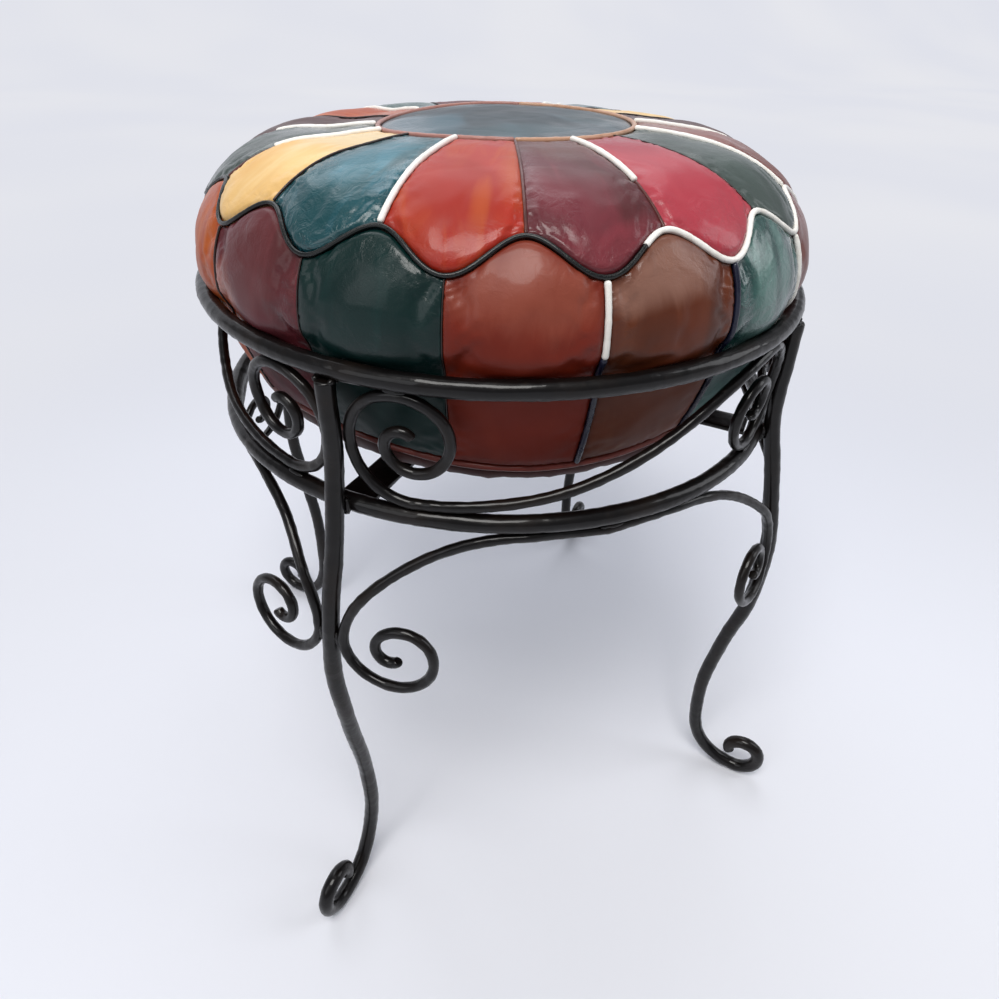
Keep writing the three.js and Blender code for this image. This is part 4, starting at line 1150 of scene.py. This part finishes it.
# What is sewn into each petal seam, from the rim to the scallop, and each side seam, from the scallop down:
# white, white that turns russet or navy on the way, navy, russet or black cord, or thin where only the
# stitched edges show
PETAL_SEAMS = {15: "russet", 14: "white", 13: "black_thin", 12: "white_half", 11: "white_half",
               0: "white_half", 1: "thin", 2: "white"}
SIDE_SEAMS = {0: "white_navy", 1: "navy", 2: "white", 15: "thin", 14: "thin", 13: "black_thin"}
CORD_RADII = {"white": 1.5, "white_navy": 1.5, "navy": 1.5, "black": 1.15, "russet": 0.85, "thin": 0.35,
              "black_thin": 0.65}
TUCK = 0.8
LEAST_GAP = 0.28
SWITCH_WIDTH = 0.02
WHITE_HALF_END = 0.59
WHITE_NAVY_PLACE = 1.2


def seam_radius(kind, share):
    """Radius of what lies in a seam at shares of its length."""
    if kind == "white_half":
        turning = ease((share - WHITE_HALF_END) / SWITCH_WIDTH)
        return mix(CORD_RADII["white"], CORD_RADII["russet"], turning)
    return np.full_like(share, CORD_RADII[kind])


def seam_kind(part, index):
    """What lies in a seam. Out of sight, where no seam is listed, two kinds take turns."""
    index %= PANELS
    if part == "petal":
        return PETAL_SEAMS.get(index, "black_thin" if index % 3 else "white_half")
    return SIDE_SEAMS.get(index, "navy" if index % 2 else "thin")


CORDED_FOLD = (1.9, 3.6)
PLAIN_FOLD = (0.6, 0.9)
PETAL_LENGTH = 95
SIDE_LENGTH = 110
STITCH_LENGTH = 6.5
PUCKERS = ((0.2, 5), (0.12, 14))  # depth, and reach from the seam
CREASES = ((0.3, 40), (0.07, 13))  # depth and wavelength
CREASE_MARGIN = 12
CORDED_FROM, CORDED_OVER = 0.7, 0.6  # cord radius from which a seam is folded down, and the blend to it
PANEL_COLUMNS = 45
STUFFING_DEPTH = 3.7


def tucked(radius):
    """How far from a seam's middle the leather beside it ends: a little under the cord in it."""
    return np.maximum(radius - TUCK, LEAST_GAP)


def quarter_fold(distance, fold=CORDED_FOLD):
    """How far an edge is turned down: a quarter of an ellipse, a fold's width wide and its depth deep."""
    depth, width = fold
    near = 1 - np.clip(distance / width, 0, 1)
    return depth * (1 - np.sqrt(1 - near ** 2))


def puckers(distance, along, seed):
    """Uneven wrinkles that the stitches draw into the leather, square to the seam and fading away from it.
    They come in groups, where a slow ripple along the seam is high."""
    grouped = ease(0.5 + 0.8 * ripple(along / 100, seed, [1, 2, 3]))
    fine = ripple(along / 100 + 0.02 * distance / STITCH_LENGTH, seed + 1, [9, 14, 19, 27])
    return grouped * fine * sum(depth * np.exp(-distance / reach) for depth, reach in PUCKERS)


def leather_shell(middle, down, place_at, net, seams, seed, length):
    """A panel between two seams. Its outer face is the outline, moved as the stuffing moves the net, raised
    by creases and puckers, and folded down at its four edges. Its inner face lies one leather's thickness
    below."""
    across = crowded(PANEL_COLUMNS)[None, :]
    down = down[:, None]
    radii = [seam_radius(kind, down) for kind in seams]
    seam_distance = outline(place_at(np.full_like(down, middle), down))[..., 0]
    left = middle - PITCH / 2 + tucked(radii[0]) / seam_distance
    right = middle + PITCH / 2 - tucked(radii[1]) / seam_distance
    azimuth = mix(left, right, across)
    place = place_at(azimuth, down * np.ones_like(across))
    rows, columns = net.shape[:2]
    moved = catmull(catmull(net, down[:, 0] * (rows - 1), 0), across[0] * (columns - 1), 1)
    normal = surface_normal(azimuth, place)
    rest = surface(azimuth, place)
    width = seam_distance * (right - left)
    edges = [(across * width, down * length), ((1 - across) * width, down * length),
             (down * length, across * width), ((1 - down) * length, across * width)]
    edges = [np.broadcast_arrays(*edge) for edge in edges]
    nearest = np.min([distance for distance, _ in edges], axis=0)
    rise = sum(puckers(distance, along, seed + at) for at, (distance, along) in enumerate(edges))
    creases = sum(depth * crumple(rest, seed + 5 + at, length) for at, (depth, length) in enumerate(CREASES))
    rise = rise + creases * ease(nearest / CREASE_MARGIN)
    folds = [mix(quarter_fold(distance, PLAIN_FOLD), quarter_fold(distance),
                 ease((radius - CORDED_FROM) / CORDED_OVER)) for radius, (distance, _) in zip(radii, edges)]
    folds += [quarter_fold(distance) for distance, _ in edges[2:]]
    outer = clear_of_ring(rest + moved + normal * (rise - np.max(folds, axis=0))[..., None])
    return shell_form(outer, outer - normal * LEATHER, stacked(across, down))


def scallop_slope(azimuth):
    """How much longer the way down a panel is than the way square to the slanting scallop."""
    nudge = 0.001
    first = outline(scallop_place(azimuth - nudge))
    second = outline(scallop_place(azimuth + nudge))
    rise = np.linalg.norm(second - first, axis=-1)
    return np.hypot(1, rise / (2 * nudge * first[..., 0]))


def cord_place(azimuth):
    """How much of a place the cord in the scallop takes up on one side."""
    return tucked(CORD_RADII["white"]) * scallop_slope(azimuth) / outline_speed(scallop_place(azimuth))


def petal_place(azimuth, share):
    """Place at a share of the way down a petal, which stops at the scallop's cord."""
    return mix(PETAL_TOP, scallop_place(azimuth) - cord_place(azimuth), share)


def panel_place(azimuth, share):
    """Place at a share of the way down a side panel, which starts at the scallop's cord."""
    return side_place(share, scallop_place(azimuth) + cord_place(azimuth))


# Rows of the net, panels from the first seam to the start, rows of the shell, first seed, length and node
COVER = {"petal": (slice(0, PETAL_ROWS + 1), -1.0, petal_place, 60, 300, PETAL_LENGTH, "petal_"),
         "side": (slice(PETAL_ROWS, None), -0.5, panel_place, 76, 600, SIDE_LENGTH, "side_panel_")}


def add_leather(swell):
    """The sixteen petals and the sixteen side panels, each on its own patch of the net."""
    wrapped = np.concatenate([swell, swell[:, :2 * NET_COLUMNS]], axis=1)
    for panel, part in itertools.product(range(PANELS), COVER):
        rows, start, place_at, count, seed, length, node = COVER[part]
        number = f"{panel + 1:02d}"
        first = int((panel + start) * NET_COLUMNS) % (PANELS * NET_COLUMNS)
        net = wrapped[rows, first:first + NET_COLUMNS + 1]
        before = panel - 1 if part == "petal" else panel
        seams = seam_kind(part, before), seam_kind(part, before + 1)
        middle = PETAL_SEAM_TURN + (panel + start + 0.5) * PITCH
        form = leather_shell(middle, crowded(count), place_at, net, seams, seed + panel * 9, length)
        colour = COLOURS[part][panel]
        finish = leather_finish(f"leather_{part}_{number}", *LEATHERS[colour],
                                0.37 * panel + FINISH_SHIFTS[part], PATCHES.get((part, panel), ()))
        add_piece(f"{part}_leather_{number}", form, finish, node + number)


STUFFING_SHARE = 0.9
LID_RADII = (8, 25, 45, 62, 70)
SOLE_RADII = (80, 50, 20)


def add_stuffing(azimuth, place, swell):
    """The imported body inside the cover: the net's own swollen form, a little smaller, closed over top and
    base."""
    inside = surface(azimuth, place, -STUFFING_DEPTH) + STUFFING_SHARE * swell
    top = CROWN_TOP - PADDING_DEPTH - 1
    column = azimuth[:1]
    lid = [around(column, radius, top - dip(column, 0) * (radius / CROWN_RIM_RADIUS) ** 2)
           for radius in LID_RADII]
    belt = [around(column, BASE_RADIUS - 5, WELT_HEIGHT + hang(column, 1))]
    belt += [around(column, r - PADDING_DEPTH, z + PADDING_DEPTH + hang(column, share))
             for (r, z), share in zip(base_outline(np.array([0.25, 0.5, 0.75, 1.0])), (0.6, 0.3, 0.1, 0))]
    sole = [around(column, radius, BASE_UNDERSIDE + PADDING_DEPTH) for radius in SOLE_RADII]
    form = wrapped_form(np.concatenate(lid + [inside[:-1]] + belt + sole))
    piece = add_piece("packed_filling", form, seam_shadow_filling_finish(), "filling")


DISC_DOME = 3.6
DISC_MARGIN = 9
DISC_RINGS = ((58, 0.18), (24, 0.14))
DISC_RING_WIDTH = 1.1


def add_top_disc():
    """The round leather on the crown: slightly domed, tooled with faint rings, and rolled under at its
    edge."""
    radius = CROWN_RIM_RADIUS - 0.9
    azimuth = TURN * shares(160)
    share = crowded(64, 0.5)[1:][:, None]
    dome = DISC_DOME * (1 - share ** 2) - quarter_fold((1 - share) * radius) * 0.7
    flat = around(azimuth, share * radius, 0 * share)
    creases = 0.3 * crumple(flat, 71, 30) + 0.05 * crumple(flat, 72, 11)
    rings = sum(depth * np.exp(-((share * radius - at) / DISC_RING_WIDTH) ** 2) for at, depth in DISC_RINGS)
    height = CROWN_TOP - 0.4 + dome + creases * ease((1 - share) * radius / DISC_MARGIN) - rings
    height = height - dip(azimuth, 0) * share ** 2
    under = around(azimuth, share[::-1] * radius, height[::-1] - LEATHER)
    grid = np.concatenate([around(azimuth, share * radius, height), under])
    finish = leather_finish("leather_top", *LEATHERS["slate"], 8.3, PATCHES["top", 0])
    form = wrapped_form(grid, grid[..., :2] / (2 * CROWN_RIM_RADIUS) + 0.5)
    add_piece("crown_disc", form, finish, "top_disc")


BASE_SLACK = 0.2
BASE_GATHERS = 0.45
BASE_PATTERN_WIDTH = 340


def add_base():
    """The leather under the cushion: flat where it lies on the straps and a little slack between them, then a
    bowl up to the welt, wrinkled where it is gathered there."""
    azimuth = TURN * shares(240)
    flat_radius = BASE_RADIUS * BASE_FLAT_SHARE
    flat = stacked(crowded(30)[1:-1] * flat_radius, BASE_UNDERSIDE)
    profile = np.concatenate([flat, base_outline(1 - crowded(34))])
    along = unit(np.gradient(profile, axis=0))
    radius, height = profile[:, :1], profile[:, 1:]
    up = (height - BASE_UNDERSIDE) / (profile[-1, 1] - BASE_UNDERSIDE)
    slack = BASE_SLACK * np.cos(4 * azimuth) * np.sin(np.pi * np.clip(radius / flat_radius, 0, 1))
    gathers = BASE_GATHERS * ripple(azimuth / TURN + 0.004 * up, 411, [23, 37, 58, 91])
    gathers = gathers * np.sin(np.pi * up) ** 2
    rise = 0.1 * np.ones_like(slack) - slack * (up < 0.01) + gathers
    height = height + hang(azimuth, up)
    under = around(azimuth, radius + along[:, 1:] * -rise, height + along[:, :1] * rise)
    top = around(azimuth, radius - along[:, 1:] * (LEATHER + rise), height + along[:, :1] * (LEATHER + rise))
    grid = np.concatenate([under, top[::-1]])
    finish = leather_finish("leather_base", *LEATHERS["maroon"], 3.9)
    form = wrapped_form(grid, grid[..., :2] / BASE_PATTERN_WIDTH + 0.5)
    add_piece("base_disc", form, finish, "base_leather")


# ---------------- cushion's cords

CORD_SIDES = 14
CORD_SPACING = 1.3
CORD_PROUD = 0.35
CORD_END_SHARE = 0.4
CORD_UNEVENNESS = 0.045
SUNK_CORDS = {"russet": -0.25, "thin": -0.1}
THIN_SIDES = 10
SCALLOP_REACH = 0.012
SEAM_END = 2.985


def cord_form(line, radius, seed, sides=CORD_SIDES, side=None):
    """A leather-covered cord along a line, a little uneven, with rounded ends."""
    centres, from_end, places = resampled(line, CORD_SPACING, radius)
    cut = np.clip(from_end / radius, 0, 1)
    blunt = mix(CORD_END_SHARE, 1, np.sqrt(1 - (1 - cut) ** 2))
    radii = radius * blunt * (1 + CORD_UNEVENNESS * ripple(places / 100, seed, [3, 7, 12, 19]))
    side = level_outward(centres) if side is None else side
    grid = tube_grid(centres, side, round_section(radii, sides))
    return wrapped_form(grid, length_pattern(grid, places))


def seam_cord(azimuth, start, end, kind, seed, sides=CORD_SIDES):
    """The cord in a straight seam, from one place to another. In quiet seams it lies deeper."""
    place = np.linspace(start, end, 160)
    proud = np.full_like(place, SUNK_CORDS.get(kind, CORD_PROUD))
    line = surface(np.full_like(place, azimuth), place, proud)
    return cord_form(line, CORD_RADII[kind], seed, sides, outward(azimuth + math.pi / 2))


def scallop_cord(start, end, kind, seed):
    """The cord along the scallops between two azimuths."""
    azimuth = np.linspace(start, end, int(abs(end - start) / DEGREE * 4))
    line = surface(azimuth, scallop_place(azimuth), CORD_PROUD)
    return cord_form(line, CORD_RADII[kind], seed)


WHITE_SCALLOPS = (1.8 * DEGREE, 100 * DEGREE)
SCALLOP_LAP = 0.4 * DEGREE
RIM_CHANGE = -16.2 * DEGREE
TAN_REACH = 170 * DEGREE
# Piping by colour: its finish, two dyes and roughness
PIPING = {
    "white": ("piping_white", "f3f0ea", "e2dcd0", 0.4),
    "black": ("piping_black", "0c100f", "191f1d", 0.22),
    "navy": ("piping_navy", "12162b", "1a2036", 0.26),
    "russet": ("piping_russet", "552a26", "351b18", 0.36),
    "thin": ("stitched_edge", "2c1d1a", "1c1413", 0.45),
}


def seam_cords():
    """The piping in all seams, gathered by colour."""
    forms = {name: [] for name in PIPING}
    top, foot = CROWN_START * 0.5, SCALLOP_HIGH - SCALLOP_REACH
    switch = mix(CROWN_START, SCALLOP_HIGH, WHITE_HALF_END)
    head = SCALLOP_LOW + SCALLOP_REACH
    for seam in range(PANELS):
        azimuth = PETAL_SEAM_TURN + seam * PITCH
        kind = seam_kind("petal", seam)
        turning = [("white", top, switch), ("russet", switch, foot)]
        for name, start, end in turning if kind == "white_half" else [(kind, top, foot)]:
            look = (seam, CORD_SIDES) if name == "white" else (seam + 30, THIN_SIDES)
            forms[name.split("_")[-1]].append(seam_cord(azimuth, start, end, name, *look))
        azimuth -= PITCH / 2
        kind = seam_kind("side", seam)
        turning = [("white", head, WHITE_NAVY_PLACE), ("navy", WHITE_NAVY_PLACE, SEAM_END)]
        for name, start, end in turning if kind == "white_navy" else [(kind, head, SEAM_END)]:
            form = seam_cord(azimuth, start, end, name, seam + 60)
            form.points = clear_of_ring(form.points)
            forms[name.split("_")[-1]].append(form)
    start, end = WHITE_SCALLOPS
    forms["white"].append(scallop_cord(start, end, "white", 95))
    forms["black"].append(scallop_cord(end - SCALLOP_LAP, start + TURN + SCALLOP_LAP, "black", 96))
    return forms


def add_cords():
    """The cords in the seams, and those round the crown and the base."""
    for name, forms in seam_cords().items():
        add_piece(f"piping_{name}", forms, cord_finish(*PIPING[name]), "seam_piping")
    for name, dyes, start, end in (("tan", ("b98f74", "a07458"), RIM_CHANGE, RIM_CHANGE + TAN_REACH),
                                   ("pink", ("a37369", "8a584e"), RIM_CHANGE + TAN_REACH, RIM_CHANGE + TURN)):
        azimuth = np.linspace(start, end, 400)
        line = around(azimuth, CROWN_RIM_RADIUS, CROWN_TOP - 0.3 - dip(azimuth, 0))
        form = cord_form(line, RIM_CORD_RADIUS - 0.55, 140)
        add_piece(f"rim_cord_{name}", form, cord_finish(f"rim_{name}", *dyes, 0.36), "rim_cord")
    azimuth = TURN * shares(600)
    line = around(azimuth, BASE_RADIUS, WELT_HEIGHT + hang(azimuth, 1))
    radii = (RIM_CORD_RADIUS - 0.05) * (1 + 0.04 * ripple(shares(600), 150, [9, 23, 41]))
    grid = tube_grid(line, outward(azimuth), round_section(radii, CORD_SIDES), closed=True)
    form = ring_form(grid, length_pattern(grid, azimuth * BASE_RADIUS))
    finish = cord_finish("welt_red", "6e2a20", "4c1c16", 0.36)
    add_piece("base_welt_cord", form, finish, "base_welt")


# ---------------- zip

def rounded_slab(low, high, edge, power=0.3, rows=9, sides=28):
    """A block with rounded edges between two corners: superellipse rings that shrink towards its two ends
    in x."""
    low, high = np.asarray(low, float), np.asarray(high, float)
    middle, half = (low + high) / 2, (high - low) / 2
    bend = np.linspace(0, math.pi / 2, 5)[:-1]
    end = half[0] - edge * (1 - np.cos(bend))
    shrink = edge * (1 - np.sin(bend))
    x = np.concatenate([-end, np.linspace(-half[0] + edge, half[0] - edge, rows), end[::-1]])
    inset = np.concatenate([shrink, np.zeros(rows), shrink[::-1]])
    section = squared(circle(sides), power)
    y = section[:, 0] * (half[1] - inset)[:, None]
    z = section[:, 1] * (half[2] - np.minimum(inset, half[2] * 0.8))[:, None]
    return wrapped_form(middle + stacked(x[:, None], y, z))


ZIP_TEETH = 52
TOOTH_HALF = (0.75, 1.5)
TOOTH_ASIDE = 0.9
SLIDER_WALL = 1.2


def add_zip():
    """The zip in the base: a woven tape, two rows of teeth, a slider round them and its pull."""
    half, wide = ZIP_LENGTH / 2, ZIP_TAPE_WIDTH / 2
    tape = rounded_slab((-half, ZIP_OFFSET - wide, ZIP_TAPE_UNDERSIDE),
                        (half, ZIP_OFFSET + wide, ZIP_TAPE_UNDERSIDE + ZIP_TAPE_THICKNESS), 0.35, rows=40)
    add_piece("zip_woven_tape", tape, tape_finish(), "zip_tape")
    zinc = zinc_finish()
    top = ZIP_TAPE_UNDERSIDE - 0.3
    reach = half - ZIP_END / 2
    teeth = []
    for tooth in range(ZIP_TEETH):
        x = mix(-reach, reach - 2, tooth / (ZIP_TEETH - 1)) + 1
        y = ZIP_OFFSET + (TOOTH_ASIDE if tooth % 2 else -TOOTH_ASIDE)
        low = (x - TOOTH_HALF[0], y - TOOTH_HALF[1], top - ZIP_CHAIN_THICKNESS)
        teeth.append(rounded_slab(low, (x + TOOTH_HALF[0], y + TOOTH_HALF[1], top), 0.2, 0.45, 2, 10))
    add_piece("zip_teeth", teeth, zinc, "zip_chain")
    low, high = (np.array(corner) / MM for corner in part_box("zip_pull"))
    pull = rounded_slab(low, high, 0.5, 0.28)
    low, high = (np.array(corner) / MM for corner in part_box("zip_slider"))
    body = [rounded_slab(low, (high[0], high[1], low[2] + SLIDER_WALL), 0.4, 0.35)]
    for front, back in ((low[1], low[1] + SLIDER_WALL), (high[1] - SLIDER_WALL, high[1])):
        body.append(rounded_slab((low[0], front, low[2] + 0.2), (high[0], back, high[2]), 0.4, 0.35))
    add_piece("zip_slider_body", body, zinc, "zip_slider", "zip_runner")
    add_piece("zip_pull_tab", pull, zinc, "zip_pull", "zip_runner")


# ---------------- room

FLOOR_REACH = 9000
FLOOR_BEND = 3000
FLOOR_BEND_START = 5000
FLOOR_NEAR = 3000
FLOOR_DROP = 0.3
PALE = "e3e5ee"
BACKGROUND_GLOW = 0.97
SKY = (0.275, 0.282, 0.304, 1)
# Distances in metres over which the floor turns into the even background
FLOOR_FADE = (0.3, 1.1)


def add_stage():
    """A pale floor that rises into a backdrop far behind: a profile of distance and height, drawn out
    sideways. Away from the stool it turns into an even pale background, which only shows and lights
    nothing."""
    turn = np.linspace(0, math.pi / 2, 24)
    near = np.linspace(-FLOOR_NEAR, FLOOR_NEAR, 13)
    y = np.concatenate([[-FLOOR_REACH], near, FLOOR_BEND_START + FLOOR_BEND * np.sin(turn),
                        [FLOOR_BEND_START + FLOOR_BEND]])
    z = np.concatenate([[0], 0 * near, FLOOR_BEND * (1 - np.cos(turn)), [FLOOR_REACH]])
    x = np.linspace(-FLOOR_REACH, FLOOR_REACH, 25)
    grid = stacked(x, y[:, None], z[:, None] - FLOOR_DROP)
    mesh = bpy.data.meshes.new("floor")
    mesh.from_pydata((grid.reshape(-1, 3) * MM).tolist(), [], grid_quads(*grid.shape[:2]).tolist())
    mesh.polygons.foreach_set("use_smooth", np.ones(len(mesh.polygons), bool))
    f = Finish("pale_floor")
    camera, mirrored = f.rays()
    seen = camera.most(mirrored)
    pale = f.blend(f.noise(0.6, 2, 0.5).rise(0.3, 0.7), paint(PALE), paint("e9eaf0"))
    colour = f.blend(seen, paint("8c8d90"), pale)
    distance = f.node("VectorMath", {0: f.place}, 1, operation="LENGTH")
    far = distance.rise(*FLOOR_FADE) * seen
    ground = f.node("BsdfDiffuse", {"Color": colour})
    even = f.node("Emission", {"Color": pale, "Strength": BACKGROUND_GLOW})
    f.node("OutputMaterial", {"Surface": f.node("MixShader", {0: far, 1: ground, 2: even})})
    mesh.materials.append(f.material)
    linked("floor", mesh)


WARM, COOL = (1.0, 0.985, 0.96), (0.95, 0.97, 1.0)
# Each lamp's place, width and height in metres, power in watts and colour
LAMPS = {
    "overhead": ((-0.5, -0.8, 2.1), (1.1, 0.8), 30, WARM),
    "behind": ((0.2, 1.5, 2.5), (3.0, 1.6), 30, COOL),
    "window_left": ((-2.0, -1.0, 1.5), (1.2, 1.4), 8, COOL),
    "window_right": ((1.9, -0.6, 1.5), (1.0, 1.4), 12, COOL),
}
LAMP_AIM = (0, 0, 0.4)


def add_lights():
    """A soft lamp before the stool and over it, a wide one above and behind for the sheen of the crown,
    weaker ones at both sides, and a dim even sky. Past the end of the floor the sky shows as pale as the
    backdrop, to the camera everywhere and to other rays near the horizon."""
    for name, (place, size, power, colour) in LAMPS.items():
        light = bpy.data.lights.new(name, "AREA")
        light.shape = "RECTANGLE"
        light.size, light.size_y = size
        light.energy = power
        light.color = colour
        lamp = linked(name, light)
        lamp.location = place
        lamp.rotation_mode = "QUATERNION"
        lamp.rotation_quaternion = (Vector(LAMP_AIM) - Vector(place)).to_track_quat("-Z", "Y")
    world = bpy.data.worlds.new("sky")
    bpy.context.scene.world = world
    f = Finish("sky", world)
    camera, mirrored = f.rays()
    _, _, up = f.split(f.node("TexCoord", output="Generated"))
    seen = camera.most(mirrored * (1 - up.rise(0.0, 0.12)))
    colour = f.blend(seen, SKY, paint(PALE))
    f.node("OutputWorld", {"Surface": f.node("Background", {"Color": colour, "Strength": 1.0})})


add_stage()
add_lights()
bpy.context.scene.view_settings.view_transform = "Standard"
add_ironwork()
net_azimuth, net_place, net_swell = cover_swell()
add_leather(net_swell)
add_stuffing(net_azimuth, net_place, net_swell)
add_top_disc()
add_base()
add_cords()
add_zip()
